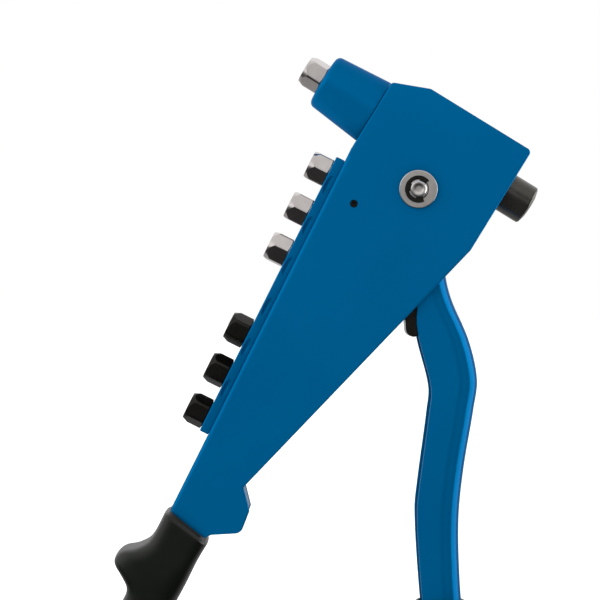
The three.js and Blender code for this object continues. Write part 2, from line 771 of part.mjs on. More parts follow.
const leverBack = edgeThrough([
  [9.6, -8], [12.4, -36], [15, -46.3], [22.1, -62.9], [25.7, -79.5], [24.2, -92.1], [20, -117.1],
  [17.9, -138], [18.3, -163], [20.4, -190], [24.2, -232],
]);
const leverFront = edgeThrough([
  [-6.4, -8], [-3.4, -30], [-0.2, -47.5], [-0.4, -55], [0.9, -63.5], [5.7, -83], [4.9, -93.5],
  [0.9, -123.6], [-0.2, -135.6], [1.5, -166.5], [3.9, -190], [8.5, -232],
]);

const LEVER_SHEET_END = LEVER_END + 6;

// The side view of the lever between two heights, with each edge moved sideways by an allowance.
function leverOutline(top, end, frontShift, backShift) {
  const step = 7;
  const count = Math.round((top - end) / step);
  const heights = Array.from({ length: count + 1 }, (_, i) => top + ((end - top) * i) / count);
  const shape = new THREE.Shape();
  heights.forEach((z, i) => {
    const x = leverBack(z) + backShift;
    if (i === 0) shape.moveTo(x, z);
    else shape.lineTo(x, z);
  });
  heights.reverse().forEach((z) => shape.lineTo(leverFront(z) + frontShift, z));
  shape.closePath();
  return shape;
}

const WEB_START = -14;        // the web of the lever starts below the pivot
const LEVER_BEND = 3;

// Centre of the fork lobes while the lever is open, seen upright.
const LOBE = new THREE.Vector2(-LOBE_SWING, NOSE_AXIS).rotateAround(new THREE.Vector2(), -NOSE_TILT);

function earOutlines(bossRadius) {
  const pivot = new THREE.Vector2(0, 0);
  return [
    circleShape(0, 0, bossRadius),
    strapShape(pivot, EAR_HALF, LOBE, EAR_HALF),
    circleShape(LOBE.x, LOBE.y, LOBE_RADIUS),
  ];
}

function leverChannel() {
  // The back edge is rounded where the web folds into the walls; the front edges stay square.
  const rounded = new THREE.ExtrudeGeometry(leverOutline(-8, LEVER_SHEET_END, 0, 0), {
    depth: LEVER_HALF * 2 - LEVER_BEND * 2,
    bevelThickness: LEVER_BEND,
    bevelSize: LEVER_BEND,
    bevelOffset: -LEVER_BEND,
    bevelSegments: 2,
  });
  rounded.rotateX(Math.PI / 2);
  rounded.translate(0, LEVER_HALF - LEVER_BEND, 0);
  const square = leverOutline(-8, LEVER_SHEET_END, 0, -LEVER_BEND - 0.4);
  const outer = [square, ...earOutlines(LEVER_BOSS)].map(
    (shape) => sidewaysPrism(shape, -LEVER_HALF, LEVER_HALF, 10),
  );
  const hollow = leverOutline(WEB_START, LEVER_END - 5, -40, -SHEET - 0.2);
  const above = easedPolygon([[-30, WEB_START], [40, WEB_START], [40, 40], [-30, 40]]);
  return cut(
    joined(rounded, ...outer),
    sidewaysPrism(hollow, -LEVER_INSIDE, LEVER_INSIDE),
    sidewaysPrism(above, -LEVER_INSIDE, LEVER_INSIDE),
    sidewaysPrism(circleShape(0, 0, BUSHING_RADIUS + GAP), -20, 20),
  );
}

addPiece(lever, 'lever_channel', leverChannel(), bluePaint());

// A second U inside the lever, with its web at the front. It doubles the walls and carries the ears, and
// its round lower end shows in front of the lever.
const FORK_END = new THREE.Vector2(-1.4, -58.2);
const FORK_END_RADIUS = 3.4;
const FORK_WEB_START = -20;

function leverFork() {
  const pivot = new THREE.Vector2(0, 0);
  const strap = strapShape(pivot, FORK_BOSS, FORK_END, FORK_END_RADIUS);
  const outer = [...earOutlines(FORK_BOSS), strap].map(
    (shape) => sidewaysPrism(shape, -FORK_HALF, FORK_HALF, 10),
  );
  const inside = FORK_HALF - FORK_THICKNESS;
  const innerBoss = FORK_BOSS - FORK_THICKNESS;
  const innerEnd = FORK_END_RADIUS - FORK_THICKNESS;
  const behindWeb = strapShape(pivot, innerBoss, FORK_END, innerEnd);
  const openBack = easedPolygon([[0, FORK_END.y - 20], [40, FORK_END.y - 20], [40, 0], [0, 0]]);
  const above = easedPolygon([[-30, FORK_WEB_START], [40, FORK_WEB_START], [40, 40], [-30, 40]]);
  return cut(
    joined(...outer),
    sidewaysPrism(behindWeb, -inside, inside, 10),
    sidewaysPrism(openBack, -inside, inside),
    sidewaysPrism(above, -inside, inside),
    sidewaysPrism(circleShape(0, 0, BUSHING_RADIUS + GAP), -20, 20),
  );
}

addPiece(lever, 'lever_fork', leverFork(), blackOxide());

addPiece(
  lever,
  'pivot_bushing',
  turnedAlongY(ringProfile(PIVOT_HOLE, BUSHING_RADIUS, -FRAME_INSIDE + GAP, FRAME_INSIDE - GAP)),
  plainSteel(),
);

function leverGrip() {
  const wall = 2.4;
  const sleeve = sleeveSolid({
    top: LEVER_GRIP_TOP,
    end: LEVER_END,
    rounding: 5,
    front: (z) => leverFront(z) - wall,
    back: (z) => leverBack(z) + wall,
    half: LEVER_GRIP_HALF,
    rings: 9,
  });
  const pocket = leverOutline(LEVER_GRIP_TOP + 10, LEVER_SHEET_END - GAP, -GAP, GAP);
  return cut(sleeve, sidewaysPrism(pocket, -LEVER_HALF - GAP, LEVER_HALF + GAP));
}

addPiece(lever, 'lever_grip', leverGrip(), blackPlastic());

// The torsion spring sits round the bushing. One leg passes under the spring pin and the other presses
// on the inside of the lever web.
function returnSpring() {
  const wireRadius = 0.85;
  const coil = BUSHING_RADIUS + GAP + wireRadius;
  const halfWidth = 3.6;
  const wholeTurns = 3;
  const stepsPerTurn = 12;
  const pin = SPRING_PIN.clone().rotateAround(new THREE.Vector2(), -NOSE_TILT);
  const underPin = new THREE.Vector2(pin.x, pin.y - SPRING_PIN_RADIUS - wireRadius - GAP);
  const onWeb = new THREE.Vector2(leverBack(-30) - SHEET - wireRadius - GAP * 2, -30);
  // Each leg leaves the coil along a tangent.
  const tangent = (leg) => Math.acos(coil / leg.length());
  const startAngle = underPin.angle() + tangent(underPin);
  const endAngle = onWeb.angle() - tangent(onWeb) + Math.PI * 2 * wholeTurns;
  const onCoil = (angle) => new THREE.Vector2(coil * Math.cos(angle), coil * Math.sin(angle));
  const legPoint = (leg, from, share, y) => {
    const point = from.clone().lerp(leg, share);
    return new THREE.Vector3(point.x, y, point.y);
  };
  const points = [1.1, 0.6, 0.1].map((share) => legPoint(underPin, onCoil(startAngle), share, -halfWidth));
  const count = Math.round(((endAngle - startAngle) / (Math.PI * 2)) * stepsPerTurn);
  for (let i = 0; i <= count; i += 1) {
    const share = i / count;
    const place = onCoil(startAngle + (endAngle - startAngle) * share);
    points.push(new THREE.Vector3(place.x, halfWidth * (2 * share - 1), place.y));
  }
  points.push(...[0.1, 0.6, 1].map((share) => legPoint(onWeb, onCoil(endAngle), share, halfWidth)));
  return wire(points, wireRadius, 64);
}

addPiece(lever, 'return_spring', returnSpring(), springSteel());

// ---------------------------------------------------------------- standing place

riveter.updateMatrixWorld(true);
const bounds = new THREE.Box3().setFromObject(riveter, true);
const middle = bounds.getCenter(new THREE.Vector3());
riveter.position.set(-middle.x, -middle.y, -bounds.min.z);

export default riveter;
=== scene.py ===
"""Hand riveter: the looks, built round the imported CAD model.

Pieces are drawn in millimetres in the frame where the real part is simplest, then placed in the row frame:
TOOL has the pivot as its origin and +X back along the nose axis. RACK lies on the leaning front edge, with
-X straight out of it and -Z down it. LEVER is upright with the pivot as its origin.
"""

import json
import math

import bmesh
import bpy
from mathutils import Matrix, Vector


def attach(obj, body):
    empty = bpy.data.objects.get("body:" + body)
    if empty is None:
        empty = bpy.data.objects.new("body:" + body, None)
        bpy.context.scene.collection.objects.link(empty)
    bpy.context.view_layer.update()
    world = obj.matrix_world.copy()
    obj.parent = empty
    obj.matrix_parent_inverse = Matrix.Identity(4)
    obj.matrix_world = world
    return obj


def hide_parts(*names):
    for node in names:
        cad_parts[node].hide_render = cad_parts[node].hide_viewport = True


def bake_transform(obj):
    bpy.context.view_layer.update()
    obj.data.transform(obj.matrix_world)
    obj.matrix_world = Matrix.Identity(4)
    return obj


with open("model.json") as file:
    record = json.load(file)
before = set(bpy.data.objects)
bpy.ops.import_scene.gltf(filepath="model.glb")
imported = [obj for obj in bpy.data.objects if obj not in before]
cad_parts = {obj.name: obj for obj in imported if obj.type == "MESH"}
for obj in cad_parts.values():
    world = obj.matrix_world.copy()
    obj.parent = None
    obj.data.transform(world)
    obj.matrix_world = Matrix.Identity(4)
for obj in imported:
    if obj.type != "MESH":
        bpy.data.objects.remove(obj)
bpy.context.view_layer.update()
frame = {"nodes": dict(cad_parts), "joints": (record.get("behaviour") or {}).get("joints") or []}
JOINTS = {joint["name"]: joint for joint in frame["joints"]}

# ---------------- places and sizes, in millimetres

MM = 0.001
PIVOT = Vector(JOINTS["lever_pivot"]["pos_m"])
NOSE_BACK = Vector(JOINTS["jaw_case_slide"]["axis"])
NOSE_TILT = math.atan2(-NOSE_BACK.z, NOSE_BACK.x)
FRONT_LEAN = math.radians(5)

GAP = 0.3
SHEET = 2.0
FRAME_HALF = 12.0
FRAME_INSIDE = FRAME_HALF - SHEET
FRAME_FRONT = -32.75
FRAME_TOP = 38.6
FRAME_BACK = 32.0
FRAME_BOTTOM = -168.0
WEB_TOP = -3.0
BEND_RADIUS = 1.7
SHEET_ROUNDING = 0.85
TANG_FRONT = -13.0
TANG_BACK = 0.4
TANG_END = -255.0
NOTCH = Vector((3.1, -144.0))
LUG_TIP = Vector((10.4, -151.1))

NOSE_AXIS = 19.5
NOSE_FACE = -58.1
NOSE_RADIUS = 11.8
NOSE_FLARE_UP = 2.1
NOSE_FLARE_DOWN = 2.8
NOSE_CORNER = 2.2
NOSE_BASE = FRAME_FRONT - 0.1
SPIGOT_RADIUS = FRAME_INSIDE - GAP
SPIGOT_END = -13.0
CASE_BORE = 7.8

HEX_FLATS = 12.0
HEAD_LENGTH = 8.8
HEAD_FACE_RADIUS = 5.6
HEAD_CHAMFER = 3.0
THREAD_RADIUS = 5.9
THREAD_LENGTH = 11.3
THREAD_PITCH = 1.5
THREAD_DEPTH = 0.85
SOCKET_RADIUS = THREAD_RADIUS + GAP

RAIL_HALF = 8.0
RAIL_THICKNESS = 3.7
RAIL_TOP = 5.5
RAIL_LENGTH = 128.4
FIRST_SOCKET = 12.7
SOCKET_PITCH = 19.05
SOCKET_COUNT = 7
DIP_SIZE = (9.0, 2.8, 1.5)
DIP_BELOW_SOCKET = 5.0
EMPTY_SOCKET = 4

PIN_RADIUS = 4.0
PIN_TIP_RADIUS = 3.3
GROOVE_RADIUS = 2.6
WASHER_RADIUS = 8.0
WASHER_THICKNESS = 1.5
CLIP_RADIUS = 5.65
CLIP_THICKNESS = 0.7
CLIP_MOUTH = 48
CLIP_TURN = 18.6
SPRING_PIN = Vector((-19.7, -19.1))
SPRING_PIN_RADIUS = 1.6
BUSHING_RADIUS = 5.0

TUBE_RADIUS = 8.5
TUBE_BORE = 4.8
TUBE_END = 44.2
NECK_RADIUS = 5.0
NECK_END = 8.5

LEVER_TRAVEL = math.radians(JOINTS["lever_pivot"]["range_deg"][1])
LOBE_SWING = NOSE_AXIS * math.tan(LEVER_TRAVEL / 2)
LOBE_RADIUS = 4.5
TUBE_FRONT = LOBE_RADIUS - LOBE_SWING + GAP
EAR_HALF = 2.7
LEVER_HALF = 9.25
LEVER_INSIDE = LEVER_HALF - SHEET
LEVER_BOSS = 9.0
FORK_HALF = LEVER_INSIDE - GAP
FORK_THICKNESS = 1.65
FORK_BOSS = 8.4
FORK_END = Vector((-1.4, -58.2))
FORK_END_RADIUS = 3.4
LEVER_WEB_START = -14.0

GRIP_HALF = 15.3
GRIP_TOP = -169.2
GRIP_END = -270.6
LEVER_GRIP_HALF = 13.0
LEVER_GRIP_TOP = -174.0
LEVER_END = -PIVOT.z / MM

TOOL = Matrix.Translation(PIVOT) @ Matrix.Rotation(NOSE_TILT, 4, "Y") @ Matrix.Scale(MM, 4)
RACK = TOOL @ Matrix.Translation((FRAME_FRONT, 0, 0)) @ Matrix.Rotation(-FRONT_LEAN, 4, "Y")
LEVER = Matrix.Translation(PIVOT) @ Matrix.Scale(MM, 4)

CAMERA_PLACE = PIVOT + Vector((-49.25, -712.0, -46.1)) * MM
CAMERA_LENS = 100.8

# ---------------- camera, floor and light


def new_object(name, data):
    made = bpy.data.objects.new(name, data)
    bpy.context.scene.collection.objects.link(made)
    return made


def add_camera():
    data = bpy.data.cameras.new("camera")
    data.lens = CAMERA_LENS
    data.sensor_width = 36
    camera = new_object("camera", data)
    camera.location = CAMERA_PLACE
    camera.rotation_euler = (math.radians(90), 0, 0)
    bpy.context.scene.camera = camera


def add_area_light(name, place, target, width, height, power, in_gloss=True, in_matt=True):
    data = bpy.data.lights.new(name, "AREA")
    data.shape = "RECTANGLE"
    data.size = width
    data.size_y = height
    data.energy = power
    light = new_object(name, data)
    light.location = place
    light.rotation_euler = (Vector(target) - Vector(place)).to_track_quat("-Z", "Y").to_euler()
    light.visible_glossy = in_gloss
    light.visible_diffuse = in_matt


def add_lights():
    middle = (0, 0, 0.16)
    add_area_light("left_key", (-1.25, -0.9, 0.9), middle, 1.4, 1.5, 11.5, in_gloss=False)
    add_area_light("right_strip", (1.3, 0.08, 0.2), middle, 1.3, 1.3, 17, in_matt=False)
    add_area_light("front_fill", (-0.5, -1.8, 0.7), middle, 1.4, 1.2, 5.7, in_gloss=False)


def add_world():
    """A pale studio, white to the eye: bright above and behind, dim in front, and dark in front below."""
    world = bpy.data.worlds.new("studio")
    world.use_nodes = True
    bpy.context.scene.world = world
    tree = Nodes(world.node_tree)
    world.node_tree.nodes.clear()
    direction = tree.add("ShaderNodeTexCoord").outputs["Generated"]
    split = tree.add("ShaderNodeSeparateXYZ", Vector=direction)
    side, depth, height = (split.outputs[axis] for axis in "XYZ")
    front = tree.ramp(height, [(-0.4, 0.03), (-0.11, 0.09), (0.0, 0.26), (0.17, 0.62), (1.0, 0.85)], low=-1)
    back = tree.ramp(height, [(-0.8, 0.40), (-0.2, 0.50), (0.3, 0.95), (1.0, 1.1)], low=-1)
    patch_stops = [(-0.75, 1.85), (-0.35, 1.0), (0.16, 1.0), (0.36, 0.25), (0.80, 0.25), (0.91, 1.0)]
    patch = tree.ramp(side, patch_stops, low=-1)
    high_part = tree.ramp(height, [(0.25, 0.0), (0.5, 1.0)], low=-1)
    patch = tree.math("MAXIMUM", patch, high_part)
    behind = tree.ramp(depth, [(-0.1, 0.0), (0.25, 1.0)], low=-1)
    shade = tree.add("ShaderNodeMix", {"data_type": "FLOAT"})
    tree.link(behind, shade.inputs["Factor"])
    tree.link(tree.math("MULTIPLY", front, patch), shade.inputs["A"])
    tree.link(back, shade.inputs["B"])
    light = tree.add("ShaderNodeBackground", Color=shade.outputs["Result"], Strength=1.0)
    plain = tree.add("ShaderNodeBackground", Color=(1, 1, 1, 1), Strength=1.0)
    eye = tree.add("ShaderNodeLightPath").outputs["Is Camera Ray"]
    mix = tree.add("ShaderNodeMixShader", Fac=eye)
    tree.link(light.outputs[0], mix.inputs[1])
    tree.link(plain.outputs[0], mix.inputs[2])
    output = tree.add("ShaderNodeOutputWorld")
    tree.link(mix.outputs[0], output.inputs["Surface"])


def add_floor():
    mesh = bpy.data.meshes.new("floor")
    reach = 12.0
    corners = [(-reach, -reach, 0), (reach, -reach, 0), (reach, reach, 0), (-reach, reach, 0)]
    mesh.from_pydata(corners, [], [(0, 1, 2, 3)])
    floor = new_object("floor", mesh)
    floor.visible_glossy = False
    floor.data.materials.append(floor_paper())


# ---------------- node materials


class Nodes:
    """Short ways to add and link shader nodes."""

    def __init__(self, node_tree):
        self.tree = node_tree

    def link(self, source, target):
        self.tree.links.new(source, target)

    def fill(self, socket, value):
        if isinstance(value, bpy.types.NodeSocket):
            self.link(value, socket)
        else:
            socket.default_value = value

    def add(self, kind, settings=None, **inputs):
        node = self.tree.nodes.new(kind)
        for name, value in (settings or {}).items():
            setattr(node, name, value)
        for name, value in inputs.items():
            self.fill(node.inputs[name.replace("_", " ")], value)
        return node

    def math(self, operation, first, second):
        node = self.tree.nodes.new("ShaderNodeMath")
        node.operation = operation
        for socket, value in zip(node.inputs, (first, second)):
            self.fill(socket, value)
        return node.outputs[0]

    def ramp(self, value, stops, low=0.0, high=1.0):
        """Grey levels or colours at positions between low and high."""
        spread = self.add("ShaderNodeMapRange", Value=value, From_Min=low, From_Max=high)
        node = self.add("ShaderNodeValToRGB", Fac=spread.outputs["Result"])
        elements = node.color_ramp.elements
        while len(elements) < len(stops):
            elements.new(0.5)
        for element, (place, level) in zip(elements, stops):
            element.position = (place - low) / (high - low)
            element.color = (*level, 1) if isinstance(level, tuple) else (level, level, level, 1)
        return node.outputs["Color"]

    def noise(self, vector, scale, detail=3.0, roughness=0.5):
        values = {"Vector": vector, "Scale": scale, "Detail": detail, "Roughness": roughness}
        return self.add("ShaderNodeTexNoise", **values).outputs["Fac"]

    def bump(self, height, strength, distance, normal=None):
        node = self.add("ShaderNodeBump", Height=height, Strength=strength, Distance=distance)
        if normal is not None:
            self.link(normal, node.inputs["Normal"])
        return node.outputs["Normal"]

    def turned_coordinates(self, stretch):
        """Object coordinates in the tool frame, stretched for marks that follow the nose axis."""
        point = self.add("ShaderNodeTexCoord").outputs["Object"]
        turn = self.add("ShaderNodeMapping", Vector=point, Rotation=(0, -NOSE_TILT, 0))
        return self.add("ShaderNodeMapping", Vector=turn.outputs[0], Scale=stretch).outputs[0]


def new_material(name, **shader_values):
    """A material with one principled shader, and the constants that are set on the shader's own sockets."""
    material = bpy.data.materials.new(name)
    material.use_nodes = True
    tree = Nodes(material.node_tree)
    shader = material.node_tree.nodes["Principled BSDF"]
    for socket, value in shader_values.items():
        shader.inputs[socket.replace("_", " ")].default_value = value
    coordinates = tree.add("ShaderNodeTexCoord").outputs["Object"]
    return material, tree, shader, coordinates


def linked(material, tree, shader, colour, rough, normal):
    """The material with its three maps linked to its shader."""
    tree.link(colour, shader.inputs["Base Color"])
    tree.link(rough, shader.inputs["Roughness"])
    tree.link(normal, shader.inputs["Normal"])
    return material


def floor_paper():
    material, tree, shader, place = new_material("floor_paper", Roughness=0.9, Specular_IOR_Level=0.1)
    colour = tree.ramp(tree.noise(place, 6), [(0.3, (0.93, 0.93, 0.925)), (0.7, (0.95, 0.95, 0.945))])
    tree.link(colour, shader.inputs["Base Color"])
    tree.link(colour, shader.inputs["Emission Color"])
    shader.inputs["Emission Strength"].default_value = 0.45
    return material


def blue_paint():
    """Glossy paint whose reflections are blue too, as if a little metal flake were in it."""
    material, tree, shader, place = new_material(
        "blue_paint", Metallic=0.38, Specular_IOR_Level=0.02, IOR=1.5
    )
    shader.inputs["Specular Tint"].default_value = (0.02, 0.5, 0.9, 1)
    broad = tree.noise(place, 18, 2)
    colour = tree.ramp(broad, [(0.25, (0.0, 0.098, 0.252)), (0.75, (0.0, 0.110, 0.276))])
    fine = tree.noise(place, 900, 4, 0.6)
    rough = tree.ramp(fine, [(0.3, 0.14), (0.7, 0.24)])
    peel = tree.bump(tree.noise(place, 650, 2), 0.15, 0.00005)
    dust = tree.bump(tree.noise(place, 3800, 2), 0.08, 0.00002, peel)
    return linked(material, tree, shader, colour, rough, dust)


def bright_plate():
    material, tree, shader, place = new_material("bright_plate", Metallic=1.0, IOR=2.2)
    film = tree.noise(place, 240, 3)
    colour = tree.ramp(film, [(0.3, (0.59, 0.55, 0.54)), (0.7, (0.67, 0.635, 0.62))])
    marks = tree.noise(tree.turned_coordinates((3500, 260, 260)), 1, 3)
    rough = tree.ramp(marks, [(0.3, 0.09), (0.7, 0.17)])
    normal = tree.bump(marks, 0.08, 0.00003)
    return linked(material, tree, shader, colour, rough, normal)


def black_oxide(name, dark, light):
    material, tree, shader, place = new_material(name, Metallic=0.85, Specular_IOR_Level=0.5)
    cloud = tree.noise(place, 160, 4, 0.6)
    colour = tree.ramp(cloud, [(0.25, dark), (0.75, light)])
    rough = tree.ramp(cloud, [(0.25, 0.13), (0.75, 0.25)])
    marks = tree.noise(tree.turned_coordinates((4200, 120, 120)), 1, 2)
    normal = tree.bump(marks, 0.12, 0.00003)
    return linked(material, tree, shader, colour, rough, normal)


def turned_steel(name, dark, light, low_roughness, high_roughness, stretch):
    """Steel with machining marks that run square to the long side of stretch."""
    material, tree, shader, place = new_material(name, Metallic=1.0, IOR=2.4)
    cloud = tree.noise(place, 220, 3)
    colour = tree.ramp(cloud, [(0.3, dark), (0.7, light)])
    marks = tree.noise(tree.turned_coordinates(stretch), 1, 3)
    rough = tree.ramp(marks, [(0.3, low_roughness), (0.7, high_roughness)])
    normal = tree.bump(marks, 0.15, 0.00004)
    return linked(material, tree, shader, colour, rough, normal)


def black_grip():
    material, tree, shader, place = new_material("black_grip", Specular_IOR_Level=0.42, IOR=1.5)
    broad = tree.noise(place, 60, 3)
    colour = tree.ramp(broad, [(0.3, (0.0016, 0.0030, 0.0012)), (0.7, (0.0034, 0.0052, 0.0028))])
    grain = tree.noise(place, 1500, 3, 0.55)
    rough = tree.ramp(grain, [(0.3, 0.30), (0.7, 0.44)])
    coarse = tree.bump(grain, 0.3, 0.00010)
    pits = tree.bump(tree.noise(place, 4200, 2), 0.2, 0.00004, coarse)
    return linked(material, tree, shader, colour, rough, pits)


def make_materials():
    return {
        "blue_paint": blue_paint(),
        "bright_plate": bright_plate(),
        "black_oxide": black_oxide("black_oxide", (0.015, 0.0145, 0.013), (0.030, 0.029, 0.026)),
        # A lighter copy of the black oxide, for the rear tube: its colour is raised to how bright the tube
        # looks where light falls on it, which is painted light.
        "painted_light_oxide": black_oxide("painted_light_oxide", (0.062, 0.060, 0.054), (0.096, 0.092, 0.084)),
        "plain_steel": turned_steel(
            "plain_steel", (0.68, 0.65, 0.63), (0.82, 0.79, 0.76), 0.25, 0.42, (120, 3800, 120)
        ),
        "hardened_steel": turned_steel(
            "hardened_steel", (0.2, 0.195, 0.19), (0.3, 0.29, 0.28), 0.25, 0.4, (3800, 90, 90)
        ),
        "spring_steel": turned_steel(
            "spring_steel", (0.10, 0.098, 0.09), (0.17, 0.165, 0.155), 0.28, 0.4, (900, 900, 900)
        ),
        "black_grip": black_grip(),
    }


MATERIALS = make_materials()

# ---------------- outlines


def rounded(corners, closed=True, steps=6):
    """(x, z, radius) corners as points, with each corner eased by an arc."""
    points = []
    for index, (x, z, radius) in enumerate(corners):
        corner = Vector((x, z))
        if radius == 0 or (not closed and index in (0, len(corners) - 1)):
            points.append(corner)
            continue
        before = (Vector(corners[index - 1][:2]) - corner).normalized()
        after = (Vector(corners[(index + 1) % len(corners)][:2]) - corner).normalized()
        half = math.acos(max(-1.0, min(1.0, before.dot(after)))) / 2
        middle = corner + (before + after).normalized() * (radius / math.sin(half))
        reach = radius / math.tan(half)
        start = corner + before * reach - middle
        end = corner + after * reach - middle
        first = math.atan2(start.y, start.x)
        sweep = (math.atan2(end.y, end.x) - first + math.pi) % math.tau - math.pi
        for step in range(steps + 1):
            points.append(middle + turned(radius, first + sweep * step / steps))
    return points


def turned(radius, angle):
    return Vector((radius * math.cos(angle), radius * math.sin(angle)))


def arc(centre, radius, start, end, steps):
    return [centre + turned(radius, start + (end - start) * i / steps) for i in range(steps + 1)]


def quarter_turn(steps, first=0):
    """Angles from 0 to a right angle, from the first step on."""
    return [math.pi / 2 * i / steps for i in range(first, steps + 1)]


def smooth(share):
    """A share from 0 to 1 that starts and stops gently."""
    return share * share * (3 - 2 * share)


def circle(centre, radius, steps=48):
    return arc(centre, radius, 0, math.tau, steps)[:-1]


def strap(start, start_radius, end, end_radius, steps=20):
    """The outline that wraps round two discs, drawn with their common tangents."""
    along = end - start
    heading = math.atan2(along.y, along.x)
    tangent = math.acos((start_radius - end_radius) / along.length)
    round_start = arc(start, start_radius, heading + tangent, heading - tangent + math.tau, steps)
    round_end = arc(end, end_radius, heading - tangent, heading + tangent, steps)
    return round_start + round_end


def inset(points, amount):
    """A closed outline moved inwards by an amount."""
    count = len(points)
    area = sum(a.x * b.y - b.x * a.y for a, b in zip(points, points[1:] + points[:1]))
    inward = amount if area > 0 else -amount
    moved = []
    for index, point in enumerate(points):
        before = (point - points[index - 1]).normalized()
        after = (points[(index + 1) % count] - point).normalized()
        normal = Vector((-(before.y + after.y), before.x + after.x))
        normal.normalize()
        slant = max(0.3, normal.dot(Vector((-before.y, before.x))))
        moved.append(point + normal * (inward / slant))
    return moved


def edge_through(points):
    """A smooth edge through (x, z) points listed from the top down, read as x for a height z."""
    last = len(points) - 1

    def slope(i, j):
        return (points[j][0] - points[i][0]) / (points[j][1] - points[i][1])

    def x_at(z):
        upper = next((i - 1 for i in range(1, len(points)) if points[i][1] < z), last - 1)
        (x0, z0), (x1, z1) = points[upper], points[upper + 1]
        span = z1 - z0
        t = min(1.0, max(0.0, (z - z0) / span))
        leave = slope(max(0, upper - 1), upper + 1) * span
        arrive = slope(upper, min(last, upper + 2)) * span
        start_part = x0 * (1 + 2 * t) * (1 - t) ** 2 + leave * t * (1 - t) ** 2
        return start_part + x1 * t * t * (3 - 2 * t) + arrive * t * t * (t - 1)

    return x_at


# ---------------- meshes


def mesh_from_rings(rings, loop=False):
    """A closed mesh through rings of points. A ring of one point is a tip, and the end rings are capped."""
    build = bmesh.new()
    made = [[build.verts.new(point) for point in ring] for ring in rings]
    pairs = list(zip(made, made[1:]))
    if loop:
        pairs.append((made[-1], made[0]))
    for first, second in pairs:
        count = max(len(first), len(second))
        for i in range(count):
            j = (i + 1) % count
            corners = [first[i % len(first)], first[j % len(first)]]
            corners += [second[j % len(second)], second[i % len(second)]]
            build.faces.new(list(dict.fromkeys(corners)))
    if not loop:
        for ring in (made[0], made[-1]):
            if len(ring) > 2:
                build.faces.new(ring)
    bmesh.ops.recalc_face_normals(build, faces=build.faces)
    mesh = bpy.data.meshes.new("shape")
    build.to_mesh(mesh)
    build.free()
    return mesh


def round_ring(x, radius, segments, z=0.0):
    """A ring square to the X axis, or one point where it has no radius."""
    angles = [math.tau * i / segments for i in range(segments)] if radius > 1e-6 else [0.0]
    return [(x, radius * math.sin(a), z + radius * math.cos(a)) for a in angles]


def lathe_x(profile, z=0.0, segments=64):
    """A closed (x, radius) profile turned round the X axis, or one that starts and ends on the axis."""
    rings = [round_ring(x, radius, segments, z) for x, radius in profile]
    return mesh_from_rings(rings, loop=profile[0][1] > 1e-6)


def lathe_y(profile, segments=64):
    """The same turned round the Y axis, with a (y, radius) profile."""
    mesh = lathe_x(profile, 0.0, segments)
    mesh.transform(Matrix.Rotation(math.radians(90), 4, "Z"))
    return mesh


def bore_along_x(start, end, radius, z=0.0):
    return lathe_x([(start, 0), (start, radius), (end, radius), (end, 0)], z)


def bore_along_y(radius, segments=64):
    """A bore right across the tool."""
    return lathe_y([(-20, 0), (-20, radius), (20, radius), (20, 0)], segments)


def prism(outline, layers):
    """An (x, z) outline carried along Y through (y, inset) layers."""
    rings = []
    for y, amount in layers:
        ring = inset(outline, amount) if amount else outline
        rings.append([(point.x, y, point.y) for point in ring])
    return mesh_from_rings(rings)


def eased_layers(low, high, radius, steps=4):
    """Layers of a prism whose two outer edges are rounded."""
    turns = quarter_turn(steps)
    near = [(low + radius * (1 - math.sin(a)), radius * (1 - math.cos(a))) for a in reversed(turns)]
    far = [(high - radius * (1 - math.sin(a)), radius * (1 - math.cos(a))) for a in turns]
    return near + far


def in_place(mesh, matrix):
    mesh.transform(matrix)
    return mesh


def combine(base, steps):
    """Joins to a mesh, or cuts from it, each ("UNION" or "DIFFERENCE", mesh) in turn."""
    main = new_object("main", base)
    helpers = []
    for operation, mesh in steps:
        helper = new_object("helper", mesh)
        helpers.append(helper)
        modifier = main.modifiers.new("combine", "BOOLEAN")
        modifier.operation = operation
        modifier.solver = "EXACT"
        modifier.object = helper
    bpy.context.view_layer.update()
    graph = bpy.context.evaluated_depsgraph_get()
    result = bpy.data.meshes.new_from_object(main.evaluated_get(graph))
    for helper in [main, *helpers]:
        bpy.data.objects.remove(helper)
    clean = bmesh.new()
    clean.from_mesh(result)
    bmesh.ops.remove_doubles(clean, verts=clean.verts, dist=0.0005)
    bmesh.ops.dissolve_degenerate(clean, edges=clean.edges, dist=0.0005)
    clean.to_mesh(result)
    clean.free()
    return result


def smooth_object(name, mesh, finish):
    mesh.name = name
    mesh.polygons.foreach_set("use_smooth", [True] * len(mesh.polygons))
    mesh.materials.clear()
    mesh.materials.append(MATERIALS[finish])
    return new_object(name, mesh)


def place_piece(name, mesh, matrix, body, node, slot_name, sharp_angle=32, finish=None):
    """Puts a mesh in the row frame as the piece that stands for a CAD node.

    Its material has the name of its slot, unless another finish is named.
    """
    mesh.transform(matrix)
    piece = smooth_object(name, mesh, finish or slot_name)
    mesh.set_sharp_from_angle(angle=math.radians(sharp_angle))
    weighted = piece.modifiers.new("even_shading", "WEIGHTED_NORMAL")
    weighted.keep_sharp = True
    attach(piece, body)
    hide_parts(node)
    return piece


# ---------------- body frame


def leaning_front(z):
    return FRAME_FRONT - z * math.tan(FRONT_LEAN)


def socket_depth(position):
    return FIRST_SOCKET + SOCKET_PITCH * (position - 1)


def frame_outline():
    return rounded([
        (FRAME_FRONT, 32.4, 1.8),
        (-17.4, FRAME_TOP, 2.0),
        (FRAME_BACK, FRAME_TOP, 1.9),
        (FRAME_BACK, -10.1, 2.5),
        (NOTCH.x, NOTCH.y, 0),
        (LUG_TIP.x, LUG_TIP.y, 1.2),
        (12.2, -160.9, 3.6),
        (2, FRAME_BOTTOM, 0),
        (TANG_BACK, FRAME_BOTTOM - 2.4, 0),
        (TANG_BACK, TANG_END, 0),
        (TANG_FRONT, TANG_END, 0),
        (TANG_FRONT, -185, 0),
        (-17.2, -169.5, 0),
        (leaning_front(-165), -165, 0),
        (FRAME_FRONT, 0, 0),
    ])


